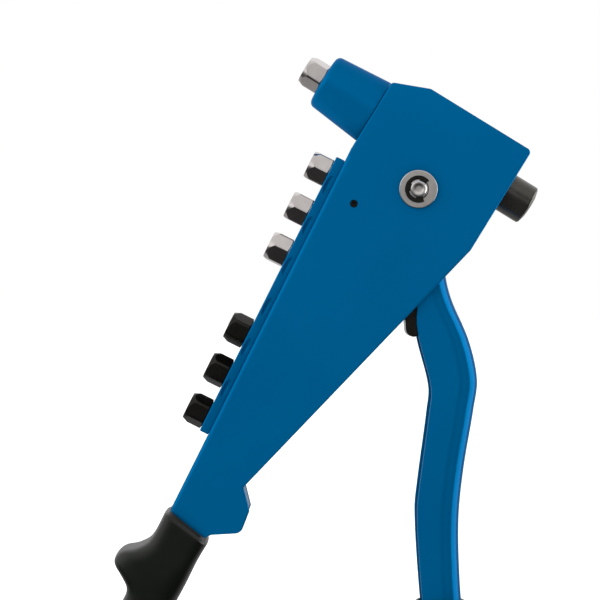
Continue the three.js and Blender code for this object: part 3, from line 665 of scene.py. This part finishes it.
def frame_void():
    """The space between the plates, open at the top, at the back, and at the front above the web."""
    def behind_web(z):
        return leaning_front(z) + SHEET / math.cos(FRONT_LEAN)

    outline = rounded([
        (FRAME_FRONT - 5, FRAME_TOP + 5, 0),
        (FRAME_BACK + 5, FRAME_TOP + 5, 0),
        (FRAME_BACK + 5, TANG_END - 5, 0),
        (TANG_FRONT + SHEET, TANG_END - 5, 0),
        (TANG_FRONT + SHEET, -186, 0),
        (behind_web(-168), -168, 0),
        (behind_web(WEB_TOP), WEB_TOP, 0),
        (FRAME_FRONT - 5, WEB_TOP, 0),
    ])
    return prism(outline, [(-FRAME_INSIDE, 0), (FRAME_INSIDE, 0)])


def bend_waste(side):
    """What lies outside the rounded bend between the web and one plate, in the rack frame."""
    inner = FRAME_HALF - BEND_RADIUS
    centre = Vector((BEND_RADIUS, -inner))
    outline = [Vector((-2, -FRAME_HALF - 2)), Vector((BEND_RADIUS, -FRAME_HALF - 2))]
    outline += arc(centre, BEND_RADIUS, -math.pi / 2, -math.pi, 12)
    outline.append(Vector((-2, -inner)))
    mesh = prism(outline, [(0, 0), (-FRAME_BOTTOM - 4, 0)])
    mesh.transform(Matrix.Rotation(math.radians(-90), 4, "X"))
    mesh.transform(Matrix.Translation((0, 0, WEB_TOP)))
    if side > 0:
        mesh.transform(Matrix.Scale(-1, 4, (0, 1, 0)))
        mesh.flip_normals()
    return mesh


def stop_strip():
    """The strip folded across the two lugs, where the lever stops."""
    along = (LUG_TIP - NOTCH).normalized()
    inward = Vector((along.y, -along.x))
    below = 0.15
    near = NOTCH + along * 0.5 + inward * below
    far = LUG_TIP - along * 0.9 + inward * below
    outline = [near, far, far + inward * SHEET, near + inward * SHEET]
    return prism(outline, eased_layers(-FRAME_HALF + 0.4, FRAME_HALF - 0.4, 0.3, 2))


def body_frame():
    to_tool = TOOL.inverted() @ RACK
    plates = prism(frame_outline(), eased_layers(-FRAME_HALF, FRAME_HALF, SHEET_ROUNDING, 5))
    steps = [("DIFFERENCE", frame_void())]
    steps += [("DIFFERENCE", in_place(bend_waste(side), to_tool)) for side in (-1, 1)]
    steps.append(("DIFFERENCE", bore_along_y(PIN_RADIUS + GAP)))
    hole = bore_along_y(SPRING_PIN_RADIUS + 0.06, 40)
    steps.append(("DIFFERENCE", in_place(hole, Matrix.Translation((SPRING_PIN.x, 0, SPRING_PIN.y)))))
    for position in range(1, SOCKET_COUNT + 1):
        bore = bore_along_x(-6, 6, SOCKET_RADIUS, -socket_depth(position))
        steps.append(("DIFFERENCE", in_place(bore, to_tool)))
    steps.append(("UNION", stop_strip()))
    mesh = combine(plates, steps)
    place_piece("frame_plates", mesh, TOOL, "frame", "body_frame", "blue_paint")


# ---------------- nose housing


def threaded_rings(start, end, radius, depth, segments):
    """Rings along X of a helical thread whose crests reach a radius. Its first and last turns fade out."""
    rings = []
    steps = round((end - start) / (THREAD_PITCH / 8))
    for i in range(steps + 1):
        x = start + (end - start) * i / steps
        fade = min(1.0, (x - start) / THREAD_PITCH, (end - x) / THREAD_PITCH)
        ring = []
        for j in range(segments):
            angle = math.tau * j / segments
            phase = (x / THREAD_PITCH - j / segments) % 1.0
            groove = min(1.0, max(0.0, 1.3 - abs(phase - 0.5) * 3.2)) * fade
            reach = radius - depth * groove
            ring.append((x, reach * math.sin(angle), reach * math.cos(angle)))
        rings.append(ring)
    return rings


def threaded_hole(start, end, segments=64):
    """The space of a threaded hole: wide at the crests of its thread, with a chamfered mouth."""
    rings = [round_ring(start - 3, SOCKET_RADIUS + 0.5 + 3, segments)]
    rings.append(round_ring(start + 0.45, SOCKET_RADIUS, segments))
    rings += threaded_rings(start + 0.5, end, SOCKET_RADIUS, THREAD_DEPTH * 0.8, segments)
    return mesh_from_rings(rings)


def nose_housing():
    segments = 96
    shoulder = NOSE_RADIUS - NOSE_CORNER
    profile = [(NOSE_FACE, shoulder * 0.6)]
    for angle in quarter_turn(8):
        x = NOSE_FACE + NOSE_CORNER * (1 - math.cos(angle))
        profile.append((x, shoulder + NOSE_CORNER * math.sin(angle)))
    barrel_start = NOSE_FACE + NOSE_CORNER
    for i in range(1, 13):
        profile.append((barrel_start + (NOSE_BASE - 0.5 - barrel_start) * i / 12, NOSE_RADIUS))
    profile += [(NOSE_BASE - 0.15, NOSE_RADIUS - 0.12), (NOSE_BASE, NOSE_RADIUS - 0.45)]
    profile += [(NOSE_BASE, SPIGOT_RADIUS), (SPIGOT_END, SPIGOT_RADIUS)]
    rings = []
    for x, radius in profile:
        share = min(1.0, (x - NOSE_FACE) / (NOSE_BASE - NOSE_FACE))
        ring = []
        for i in range(segments):
            angle = math.tau * i / segments
            up = math.cos(angle)
            flare = (NOSE_FLARE_UP if up > 0 else NOSE_FLARE_DOWN) * share
            if radius <= SPIGOT_RADIUS and x > NOSE_FACE + 1:
                flare = 0
            ring.append((x, radius * math.sin(angle), NOSE_AXIS + radius * up * (1 + flare / NOSE_RADIUS)))
        rings.append(ring)
    barrel = mesh_from_rings(rings)
    thread_end = NOSE_FACE + THREAD_LENGTH + GAP
    hole = in_place(threaded_hole(NOSE_FACE, thread_end + 1), Matrix.Translation((0, 0, NOSE_AXIS)))
    inner = bore_along_x(thread_end, SPIGOT_END + 1, CASE_BORE, NOSE_AXIS)
    mesh = combine(barrel, [("DIFFERENCE", hole), ("DIFFERENCE", inner)])
    place_piece("nose_barrel", mesh, TOOL, "frame", "nose_housing", "blue_paint")


# ---------------- nosepieces and their rail


def hexagon_radius(angle, corner_trim=0.14):
    """Distance from the axis to a hexagon with slightly eased corners. A corner lies at angle 0."""
    within = (angle + math.pi / 6) % (math.pi / 3) - math.pi / 6
    side = HEX_FLATS / 2 / math.cos(math.pi / 6 - abs(within))
    return min(side, HEX_FLATS / math.sqrt(3) - corner_trim)


def nosepiece(bore):
    """A hex-headed nosepiece with its seat at X = 0, its head towards -X and its thread towards +X."""
    segments = 96
    end = -GAP - HEAD_LENGTH
    seat = -0.12
    spread = (HEX_FLATS / math.sqrt(3) - HEAD_FACE_RADIUS) / HEAD_CHAMFER

    def hex_ring(x_of, shrink):
        ring = []
        for i in range(segments):
            angle = math.tau * i / segments
            radius = hexagon_radius(angle) - shrink
            ring.append((x_of(radius), radius * math.sin(angle), radius * math.cos(angle)))
        return ring

    def chamfer_x(radius):
        return end + (radius - HEAD_FACE_RADIUS) / spread

    def seat_x(radius, drop):
        return seat - drop - max(0.0, (radius - HEX_FLATS / 2) * 0.35)

    def round_rings(*spots):
        return [round_ring(x, radius, segments) for x, radius in spots]

    thread_root = THREAD_RADIUS - 0.9
    rings = round_rings(
        (THREAD_LENGTH, bore + 0.4), (THREAD_LENGTH, THREAD_RADIUS - 1.1),
        (THREAD_LENGTH - 0.7, THREAD_RADIUS - 0.25),
    )
    rings += threaded_rings(1.4, THREAD_LENGTH - 0.8, THREAD_RADIUS, THREAD_DEPTH, segments)[::-1]
    rings += round_rings((1.2, thread_root), (seat, thread_root), (seat, HEX_FLATS / 2 - 0.35))
    rings.append(hex_ring(lambda radius: seat_x(radius + 0.12, 0.05), 0.1))
    rings.append(hex_ring(lambda radius: seat_x(radius, 0.2), 0.0))
    rings.append(hex_ring(lambda radius: chamfer_x(radius) + 0.12, 0.0))
    rings.append(hex_ring(chamfer_x, 0.1))
    rings += round_rings(
        (end + 0.06, HEAD_FACE_RADIUS + 0.08), (end, HEAD_FACE_RADIUS - 0.1), (end, bore + 0.35),
        (end + 0.3, bore), (THREAD_LENGTH - 0.4, bore),
    )
    return mesh_from_rings(rings, loop=True)


FITTED_TURN = -24
STORED_NOSEPIECES = [
    (1, -6, 1.7, "bright_plate"),
    (2, -4, 2.1, "bright_plate"),
    (3, 5, 2.5, "bright_plate"),
    (5, 27, 2.6, "black_oxide"),
    (6, 25, 3.1, "black_oxide"),
    (7, 29, 3.3, "black_oxide"),
]


def turn_to(degrees):
    """The turn of a nosepiece round its axis, from a corner facing the viewer."""
    return Matrix.Rotation(math.radians(90 - degrees), 4, "X")


def nosepieces():
    def add(name, node, bore, place, finish):
        place_piece(name, nosepiece(bore), place, node, node, finish, 28)

    in_nose = TOOL @ Matrix.Translation((NOSE_FACE, 0, NOSE_AXIS)) @ turn_to(FITTED_TURN)
    add("nosepiece_in_nose", "fitted_nosepiece", 2.1, in_nose, "bright_plate")
    for position, turn, bore, finish in STORED_NOSEPIECES:
        node = f"stored_nosepiece_{position}"
        seat = Matrix.Translation((-GAP - RAIL_THICKNESS, 0, -socket_depth(position)))
        add(f"nosepiece_on_rail_{position}", node, bore, RACK @ seat @ turn_to(turn), finish)


def lens(length, height, depth):
    """A flattened ball that cuts a lens-shaped recess into the rail's side."""
    rings = []
    for i in range(13):
        polar = math.pi * i / 12
        radius = math.sin(polar)
        count = 24 if radius > 1e-6 else 1
        angles = [math.tau * j / 24 for j in range(count)]
        rings.append([
            (height / 2 * radius * math.sin(a), depth * radius * math.cos(a), length / 2 * math.cos(polar))
            for a in angles
        ])
    return mesh_from_rings(rings)


def nosepiece_rail():
    thick = RAIL_THICKNESS + GAP - 0.05
    section = rounded([
        (-thick, -RAIL_HALF, 0.5), (-0.05, -RAIL_HALF, 0.25),
        (-0.05, RAIL_HALF, 0.25), (-thick, RAIL_HALF, 0.5),
    ])
    bar = prism(section, eased_layers(RAIL_TOP, RAIL_TOP + RAIL_LENGTH, 0.5, 3))
    bar.transform(Matrix.Rotation(math.radians(-90), 4, "X"))
    steps = []
    for position in range(1, SOCKET_COUNT + 1):
        depth = -socket_depth(position)
        if position == EMPTY_SOCKET:
            hole = threaded_hole(-thick, 2.0)
        else:
            hole = bore_along_x(-9, 6, SOCKET_RADIUS)
        steps.append(("DIFFERENCE", in_place(hole, Matrix.Translation((0, 0, depth)))))
        for side in (-1, 1) if position < SOCKET_COUNT else ():
            place = Matrix.Translation((-1.9, side * (RAIL_HALF + 0.35), depth - DIP_BELOW_SOCKET))
            steps.append(("DIFFERENCE", in_place(lens(*DIP_SIZE), place)))
    mesh = combine(bar, steps)
    place_piece("rail_bar", mesh, RACK, "frame", "nosepiece_rail", "blue_paint", 33)


# ---------------- pivot


def pivot_pin():
    head_inner = FRAME_HALF + 0.05
    head_radius = WASHER_RADIUS - 1
    washer_outer = -FRAME_HALF - GAP - WASHER_THICKNESS
    groove_inner = washer_outer - 0.1
    groove_outer = washer_outer - GAP - CLIP_THICKNESS - 0.2
    tip = groove_outer - 1.2
    profile = [
        (tip + 0.42, 0, 0), (tip + 0.36, 1.3, 0.6), (tip, 2.35, 0.12), (tip, PIN_TIP_RADIUS - 0.45, 0.08),
        (tip + 0.45, PIN_TIP_RADIUS, 0.08), (groove_outer, PIN_TIP_RADIUS, 0.05),
        (groove_outer, GROOVE_RADIUS, 0.05), (groove_inner, GROOVE_RADIUS, 0.05),
        (groove_inner, PIN_RADIUS, 0.1), (head_inner, PIN_RADIUS, 0.1), (head_inner, head_radius, 0.2),
        (head_inner + 2.2, head_radius, 1.4), (-tip, head_radius - 2.6, 3.0), (-tip, 0, 0),
    ]
    mesh = lathe_y(rounded(profile, closed=False, steps=5))
    place_piece("pin", mesh, TOOL, "frame", "pivot_pin", "plain_steel", 40)


def pivot_washer():
    outer_face = -FRAME_HALF - GAP - WASHER_THICKNESS
    profile = [
        (outer_face, PIN_RADIUS + GAP, 0.15), (outer_face, WASHER_RADIUS, 0.35),
        (-FRAME_HALF - 0.05, WASHER_RADIUS, 0.15), (-FRAME_HALF - 0.05, PIN_RADIUS + GAP, 0.15),
    ]
    mesh = lathe_y(rounded(profile, steps=4), 96)
    place_piece("washer", mesh, TOOL, "frame", "pivot_washer", "plain_steel", 40)


def pivot_clip():
    """A clip with three prongs in the groove and its mouth towards the rear tube. Angles are in degrees."""
    prong = GROOVE_RADIUS + GAP
    relief = PIN_TIP_RADIUS + 1
    slope = 6
    rear = 20
    side = CLIP_MOUTH + 43
    end = 360 - CLIP_MOUTH
    stretches = [
        (prong, end, 360 - side), (relief, 360 - side - slope, 180 + rear + slope),
        (prong, 180 + rear, 180 - rear), (relief, 180 - rear - slope, side + slope),
        (prong, side, CLIP_MOUTH),
    ]

    def heading(degrees):
        return math.radians(degrees + CLIP_TURN)

    centre = Vector((0, 0))
    outline = arc(centre, CLIP_RADIUS, heading(CLIP_MOUTH + 4), heading(end - 4), 60)
    for radius, first, last in stretches:
        outline += arc(centre, radius, heading(first), heading(last), 12)
    outer = -FRAME_HALF - GAP * 2 - WASHER_THICKNESS
    mesh = prism(outline, eased_layers(outer - CLIP_THICKNESS, outer + GAP - 0.05, 0.12, 2))
    place_piece("retaining_clip", mesh, TOOL, "frame", "pivot_clip", "black_oxide", 40)


def spring_pin():
    """A rolled sheet pin with its slot facing the rail."""
    slot = math.radians(14)
    centre = Vector((0, 0))
    outline = arc(centre, SPRING_PIN_RADIUS, -math.pi + slot, math.pi - slot, 40)
    outline += arc(centre, SPRING_PIN_RADIUS / 2, math.pi - slot, -math.pi + slot, 40)
    half = FRAME_HALF - 1.0
    tube = prism(outline, eased_layers(-half, half, 0.15, 2))
    # The plug fills the pin's hollow from 2.5 mm in: a black floor that stands in for the shade deep in the
    # hole, which is painted shade.
    shade_plug = prism(circle(centre, SPRING_PIN_RADIUS * 0.7, 24), [(-half + 2.5, 0), (half - 2.5, 0)])
    mesh = combine(tube, [("UNION", shade_plug)])
    place = TOOL @ Matrix.Translation((SPRING_PIN.x, 0, SPRING_PIN.y))
    place_piece("roll_pin", mesh, place, "frame", "spring_pin", "black_oxide", 40)


# ---------------- rear tube


def mandrel_tube():
    seat = NECK_END + GAP
    profile = [
        (TUBE_FRONT, NECK_RADIUS + GAP, 0.2), (TUBE_FRONT, TUBE_RADIUS, 0.5),
        (TUBE_END - 0.9, TUBE_RADIUS, 1.1), (TUBE_END, TUBE_RADIUS - 3.2, 1.2), (TUBE_END, TUBE_BORE, 0.5),
        (seat + 2, TUBE_BORE, 0.2), (seat + 2, 2.6, 0.1), (seat, 2.6, 0.1), (seat, NECK_RADIUS + GAP, 0.1),
    ]
    mesh = lathe_x(rounded(profile, steps=5), NOSE_AXIS, 96)
    # The rear tube gets the lighter oxide, whose colour holds painted light.
    place_piece("rear_tube", mesh, TOOL, "jaw_case", "mandrel_tube", "black_oxide", 40, "painted_light_oxide")


# ---------------- handle grip

grip_front = edge_through([
    (-19.8, -168), (-18.7, -179.5), (-19.4, -184.8), (-22.6, -189.7), (-26.3, -193), (-27.5, -196.2),
    (-26.4, -199.6), (-22, -202), (-17.4, -204.8), (-15.4, -209), (-15.2, -220), (-16.6, -245),
    (-16.2, -272),
])
grip_back = edge_through([
    (2.7, -168), (2.8, -181), (3.8, -192.5), (4.4, -206), (4.2, -225), (4.6, -248), (4, -272),
])


def section_angles(per_quarter=18):
    """Angles round a moulded section, with a close group at the two parting lines."""
    line = [-0.03, -0.012, 0.012, 0.03]
    step = (math.pi - 0.2) / (per_quarter * 2)
    between = [0.1 + step * i for i in range(per_quarter * 2 + 1)]
    front = [math.pi + offset for offset in line]
    return line + between + front + [math.pi + angle for angle in between]


def moulded_ring(front, back, half, power, height_of, ridge=0.0):
    """One rounded-rectangle section, with a fine ridge where the mould halves met."""
    ring = []
    for angle in section_angles():
        across = math.copysign(abs(math.cos(angle)) ** (2 / power), math.cos(angle))
        sideways = math.copysign(abs(math.sin(angle)) ** (2 / power), math.sin(angle))
        proud = ridge if abs(math.sin(angle)) < 0.02 else 0.0
        x = (front + back) / 2 + across * ((back - front) / 2 + proud)
        ring.append((x, sideways * half, height_of(x)))
    return ring


def handle_grip():
    def rim_tilt(x, z):
        fade = min(1.0, max(0.0, (z + 182) / 13))
        return -0.12 * (x + 9) * fade

    def pocket_ring(z, front, back, half, power):
        return moulded_ring(front, back, half, power, lambda x: z + rim_tilt(x, z))

    def ring_at(z, shrink, ridge=0.0, power=5.5):
        front, back = grip_front(z) + shrink, grip_back(z) - shrink
        return moulded_ring(front, back, GRIP_HALF - shrink, power, lambda x: z + rim_tilt(x, z), ridge)

    rounding = 7.0
    lip = 1.3
    pocket_half = FRAME_HALF + 0.6
    deep_pocket = (TANG_FRONT - 0.5, TANG_BACK + 0.5, FRAME_HALF + 0.35, 12)
    rings = [pocket_ring(GRIP_TOP - depth, *deep_pocket) for depth in (84.0, 40.0, 16.0)]
    rings.append(pocket_ring(GRIP_TOP - 3, -17.5, 1.3, pocket_half, 9))
    rings.append(pocket_ring(GRIP_TOP - 0.6, -17.9, 1.5, pocket_half, 7))
    for angle in quarter_turn(4):
        rings.append(ring_at(GRIP_TOP - 0.3 * (1 - math.sin(angle)), lip + 0.3 + 0.3 * math.cos(angle)))
    lip_side = [
        (0.1, lip + 0.1), (0.4, lip), (1.0, lip - 0.1), (1.3, lip - 0.3), (1.9, lip - 0.9), (2.4, 0.05),
    ]
    for drop, shrink in lip_side:
        rings.append(ring_at(GRIP_TOP - drop, shrink))
    steps = 84
    body_start = GRIP_TOP - 2.9
    body_end = GRIP_END + rounding
    for i in range(steps + 1):
        z = body_start + (body_end - body_start) * i / steps
        share = i / steps
        rings.append(ring_at(z, 0, 0.12, power=5.5 - 1.5 * min(1.0, share * 1.6)))
    for angle in quarter_turn(8, 1):
        z = body_end - rounding * math.sin(angle)
        rings.append(ring_at(z, rounding * (1 - math.cos(angle)), power=4.0))
    mesh = mesh_from_rings(rings)
    place_piece("handle_sleeve", mesh, TOOL, "frame", "handle_grip", "black_grip", 50)


# ---------------- lever

lever_back = edge_through([
    (9.6, -8), (12.4, -36), (15, -46.3), (22.1, -62.9), (25.7, -79.5), (24.2, -92.1), (20, -117.1),
    (17.9, -138), (18.3, -163), (20.4, -190), (24.2, -232),
])
lever_front = edge_through([
    (-6.4, -8), (-3.4, -30), (-0.2, -47.5), (-0.4, -55), (0.9, -63.5), (5.7, -83), (4.9, -93.5),
    (0.9, -123.6), (-0.2, -135.6), (1.5, -166.5), (3.9, -190), (8.5, -232),
])
LEVER_SHEET_END = LEVER_END + 6
TIGHT_BEND = 3.0
WIDE_BEND = Vector((6.2, 8.4))
STEP_LENGTH = 2.6
STEP_DEPTH = 0.6


def lever_side(front, back, half, bend, step, edge):
    """One wall of the U in the plane of the section, from its front edge to the middle of the web.

    Behind its flat part the wall steps in a little, and then it bends round to the web.
    """
    points = []
    for angle in (0, 0.8, math.pi / 2):
        points.append(Vector((front + edge * (1 - math.cos(angle)), -half + edge * (1 - math.sin(angle)))))
    bend_start = back - bend.x
    shallow = -half + STEP_DEPTH * step
    for i in range(9):
        share = i / 8
        sideways = -half + (shallow + half) * smooth(share)
        points.append(Vector((bend_start - STEP_LENGTH * (1 - share), sideways)))
    for angle in quarter_turn(16, 1):
        sideways = shallow + bend.y * (1 - math.cos(angle))
        points.append(Vector((bend_start + bend.x * math.sin(angle), sideways)))
    return points


def lever_section(z):
    """The U section at a height: square front edges and a back that is rounded more below the frame."""
    share = smooth(min(1.0, max(0.0, (-z - 18) / 14)))
    tight = Vector((TIGHT_BEND, TIGHT_BEND))
    bend = tight.lerp(WIDE_BEND, share)
    sheet = Vector((SHEET, SHEET))
    front, back = lever_front(z), lever_back(z)
    outer = lever_side(front, back, LEVER_HALF, bend, share, 0.45)
    inner = lever_side(front, back - SHEET, LEVER_INSIDE, bend - sheet, share, 0.0)
    for point in inner[:3]:
        point.y = -LEVER_INSIDE
    half_loop = outer[::-1] + inner
    other_half = [Vector((point.x, -point.y)) for point in reversed(half_loop)]
    return [(point.x, point.y, z) for point in half_loop + other_half]


def ear_shapes(boss_radius):
    lobe = lobe_centre()
    pivot = Vector((0, 0))
    return [
        circle(pivot, boss_radius, 72),
        strap(pivot, EAR_HALF, lobe, EAR_HALF),
        circle(lobe, LOBE_RADIUS, 48),
    ]


def lobe_centre():
    """Centre of the fork lobes while the lever is open, seen upright."""
    cosine, sine = math.cos(NOSE_TILT), math.sin(NOSE_TILT)
    return Vector((-LOBE_SWING * cosine + NOSE_AXIS * sine, LOBE_SWING * sine + NOSE_AXIS * cosine))


def lever_channel():
    heights = []
    z = LEVER_WEB_START
    while z > LEVER_SHEET_END:
        heights.append(z)
        z -= 1.6
    heights.append(LEVER_SHEET_END)
    channel = mesh_from_rings([lever_section(height) for height in heights])
    top_walls = [Vector((lever_front(h), h)) for h in (-8, -13, -18)]
    top_walls += [Vector((lever_back(h) - TIGHT_BEND - 0.5, h)) for h in (-18, -13, -8)]
    steps = []
    inner = LEVER_INSIDE + 0.03
    outer = LEVER_HALF - 0.03
    for outline in [top_walls, *ear_shapes(LEVER_BOSS)]:
        for low, high in ((-outer, -inner), (inner, outer)):
            steps.append(("UNION", prism(outline, [(low, 0), (high, 0)])))
    steps.append(("DIFFERENCE", bore_along_y(BUSHING_RADIUS + 0.05)))
    mesh = combine(channel, steps)
    place_piece("lever_arm", mesh, LEVER, "lever", "lever_channel", "blue_paint")


def lever_fork():
    """The second U inside the lever, with its web at the front. Its round end shows below the frame."""
    pivot = Vector((0, 0))
    inside = FORK_HALF - FORK_THICKNESS
    layers = eased_layers(-FORK_HALF, FORK_HALF, 0.5, 4)
    body = prism(strap(pivot, FORK_BOSS, FORK_END, FORK_END_RADIUS), layers)
    outer = FORK_HALF - 0.02
    ears = ear_shapes(FORK_BOSS - 0.02)
    steps = [("UNION", prism(outline, [(-outer, 0), (outer, 0)])) for outline in ears]
    behind_web = strap(pivot, FORK_BOSS - FORK_THICKNESS, FORK_END, FORK_END_RADIUS - FORK_THICKNESS)
    open_back = [Vector(p) for p in ((0.5, FORK_END.y - 20), (40, FORK_END.y - 20), (40, 0.5), (0.5, 0.5))]
    above = [Vector(p) for p in ((-30, -20), (40, -20), (40, 40), (-30, 40))]
    for outline in (behind_web, open_back, above):
        steps.append(("DIFFERENCE", prism(outline, [(-inside, 0), (inside, 0)])))
    clear_of_step = WIDE_BEND.x + STEP_LENGTH + 0.8
    walls_back = [Vector((lever_back(h) - clear_of_step, h)) for h in (-9, -20, -30, -40, -50, -62)]
    walls_back += [Vector((40, -62)), Vector((40, -9))]
    steps.append(("DIFFERENCE", prism(walls_back, [(-20, 0), (20, 0)])))
    steps.append(("DIFFERENCE", bore_along_y(BUSHING_RADIUS + 0.05)))
    mesh = combine(body, steps)
    place_piece("inner_fork", mesh, LEVER, "lever", "lever_fork", "black_oxide")


def lever_grip():
    wall = 2.4
    rounding = 5.0
    lip = 0.8

    def ring_at(z, shrink, ridge=0.12, power=3.6):
        front = lever_front(max(z, LEVER_END)) - wall + shrink
        back = lever_back(max(z, LEVER_END)) + wall - shrink
        return moulded_ring(front, back, LEVER_GRIP_HALF - shrink, power, lambda x: z, ridge)

    def pocket_ring(z):
        return moulded_ring(lever_front(z) - 0.1, lever_back(z) + 0.1, LEVER_HALF + 0.15, 9, lambda x: z)

    heights = (LEVER_SHEET_END - GAP, LEVER_SHEET_END + 20, LEVER_GRIP_TOP - 14, LEVER_GRIP_TOP - lip)
    rings = [pocket_ring(z) for z in heights]
    for i in range(9):
        angle = math.pi * i / 8
        rings.append(ring_at(LEVER_GRIP_TOP - lip * (1 - math.sin(angle)), lip * (1 + math.cos(angle)), 0))
    steps = 36
    body_start = LEVER_GRIP_TOP - lip - 0.6
    body_end = LEVER_END + rounding
    for i in range(steps + 1):
        rings.append(ring_at(body_start + (body_end - body_start) * i / steps, 0))
    for angle in quarter_turn(7, 1):
        rings.append(ring_at(body_end - rounding * math.sin(angle), rounding * (1 - math.cos(angle)), 0))
    mesh = mesh_from_rings(rings)
    place_piece("lever_sleeve", mesh, LEVER, "lever", "lever_grip", "black_grip", 50)


# ---------------- springs


def wire_mesh(points, radius, sides=12):
    """A round wire along a list of points, with domed ends."""
    rings = []
    side = Vector((0, 0, 1))
    for index, point in enumerate(points):
        before = points[max(0, index - 1)]
        after = points[min(len(points) - 1, index + 1)]
        along = (after - before).normalized()
        side = (side - along * side.dot(along)).normalized()
        other = along.cross(side)
        ends = {0: -1, len(points) - 1: 1}
        shares = [(0.0, 1.0)]
        if index in ends:
            sign = ends[index]
            dome = [(sign * radius * 0.5 * math.sin(a), math.cos(a)) for a in (0, 0.5, 1.0, 1.35)]
            shares = dome if sign > 0 else dome[::-1]
        for shift, scale in shares:
            ring = []
            for i in range(sides):
                angle = math.tau * i / sides
                outwards = side * math.cos(angle) + other * math.sin(angle)
                ring.append(point + along * shift + outwards * radius * scale)
            rings.append(ring)
    return mesh_from_rings(rings)


def spring_piece(name, mesh, node):
    """A spring that sits between two bodies, in the row frame."""
    piece = smooth_object(name, mesh, "spring_steel")
    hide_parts(node)
    return piece


def return_spring():
    """The torsion spring round the bushing: one leg is under the spring pin, the other on the lever web."""
    wire_radius = 0.85
    coil = BUSHING_RADIUS + GAP + wire_radius
    half_width = 3.6
    pin_angle = math.atan2(SPRING_PIN.y, SPRING_PIN.x) - NOSE_TILT
    pin = turned(SPRING_PIN.length, pin_angle)
    under_pin = Vector((pin.x, pin.y - SPRING_PIN_RADIUS - wire_radius - GAP))
    on_web = Vector((lever_back(-30) - SHEET - wire_radius - GAP * 2, -30))

    def tangent(leg):
        return math.acos(coil / leg.length)

    start_angle = math.atan2(under_pin.y, under_pin.x) + tangent(under_pin)
    end_angle = math.atan2(on_web.y, on_web.x) - tangent(on_web)
    while end_angle < start_angle + math.tau * 2.2:
        end_angle += math.tau

    def leg_points(leg, start, shares, y):
        spots = [start.lerp(leg, share) for share in shares]
        return [Vector((spot.x, y, spot.y)) for spot in spots]

    points = leg_points(under_pin, turned(coil, start_angle), (1.1, 0.8, 0.5, 0.25, 0.08), -half_width)
    count = round((end_angle - start_angle) / math.tau * 40)
    for i in range(count + 1):
        spot = turned(coil, start_angle + (end_angle - start_angle) * i / count)
        points.append(Vector((spot.x, half_width * (2 * i / count - 1), spot.y)))
    points += leg_points(on_web, turned(coil, end_angle), (0.08, 0.25, 0.5, 0.8, 1.0), half_width)
    mesh = in_place(wire_mesh(points, wire_radius), LEVER)
    piece = spring_piece("torsion_spring", mesh, "return_spring")
    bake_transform(piece)


def jaw_spring():
    """The compression spring between the jaw pusher and the end of the case's neck."""
    pusher_end = -20.0
    wire_radius = 0.4
    coil = 2.85
    start = pusher_end + GAP + wire_radius
    end = NECK_END - 0.4
    turns = 9
    per_turn = 28
    points = []
    for i in range(turns * per_turn + 1):
        spot = turned(coil, math.tau * i / per_turn)
        x = start + (end - start) * i / (turns * per_turn)
        points.append(Vector((x, spot.y, NOSE_AXIS + spot.x)))
    mesh = in_place(wire_mesh(points, wire_radius, 10), TOOL)
    piece = spring_piece("jaw_push_spring", mesh, "jaw_spring")
    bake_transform(piece)


# ---------------- inner parts kept from the CAD model


def finish_inner_parts():
    finishes = dict.fromkeys(("jaw_case", "jaw_1", "jaw_2", "jaw_3"), "hardened_steel")
    finishes |= {"jaw_pusher": "plain_steel", "pivot_bushing": "plain_steel", "rear_guide": "black_oxide"}
    for node, finish in finishes.items():
        part = frame["nodes"][node]
        if part.data.materials:
            part.data.materials[0] = MATERIALS[finish]
        else:
            part.data.materials.append(MATERIALS[finish])


# ---------------- the whole object

bpy.context.scene.view_settings.view_transform = "Standard"
add_camera()
add_world()
add_lights()
add_floor()

body_frame()
nose_housing()
nosepiece_rail()
nosepieces()
pivot_pin()
pivot_washer()
pivot_clip()
spring_pin()
mandrel_tube()
handle_grip()
lever_channel()
lever_fork()
lever_grip()
return_spring()
jaw_spring()
finish_inner_parts()
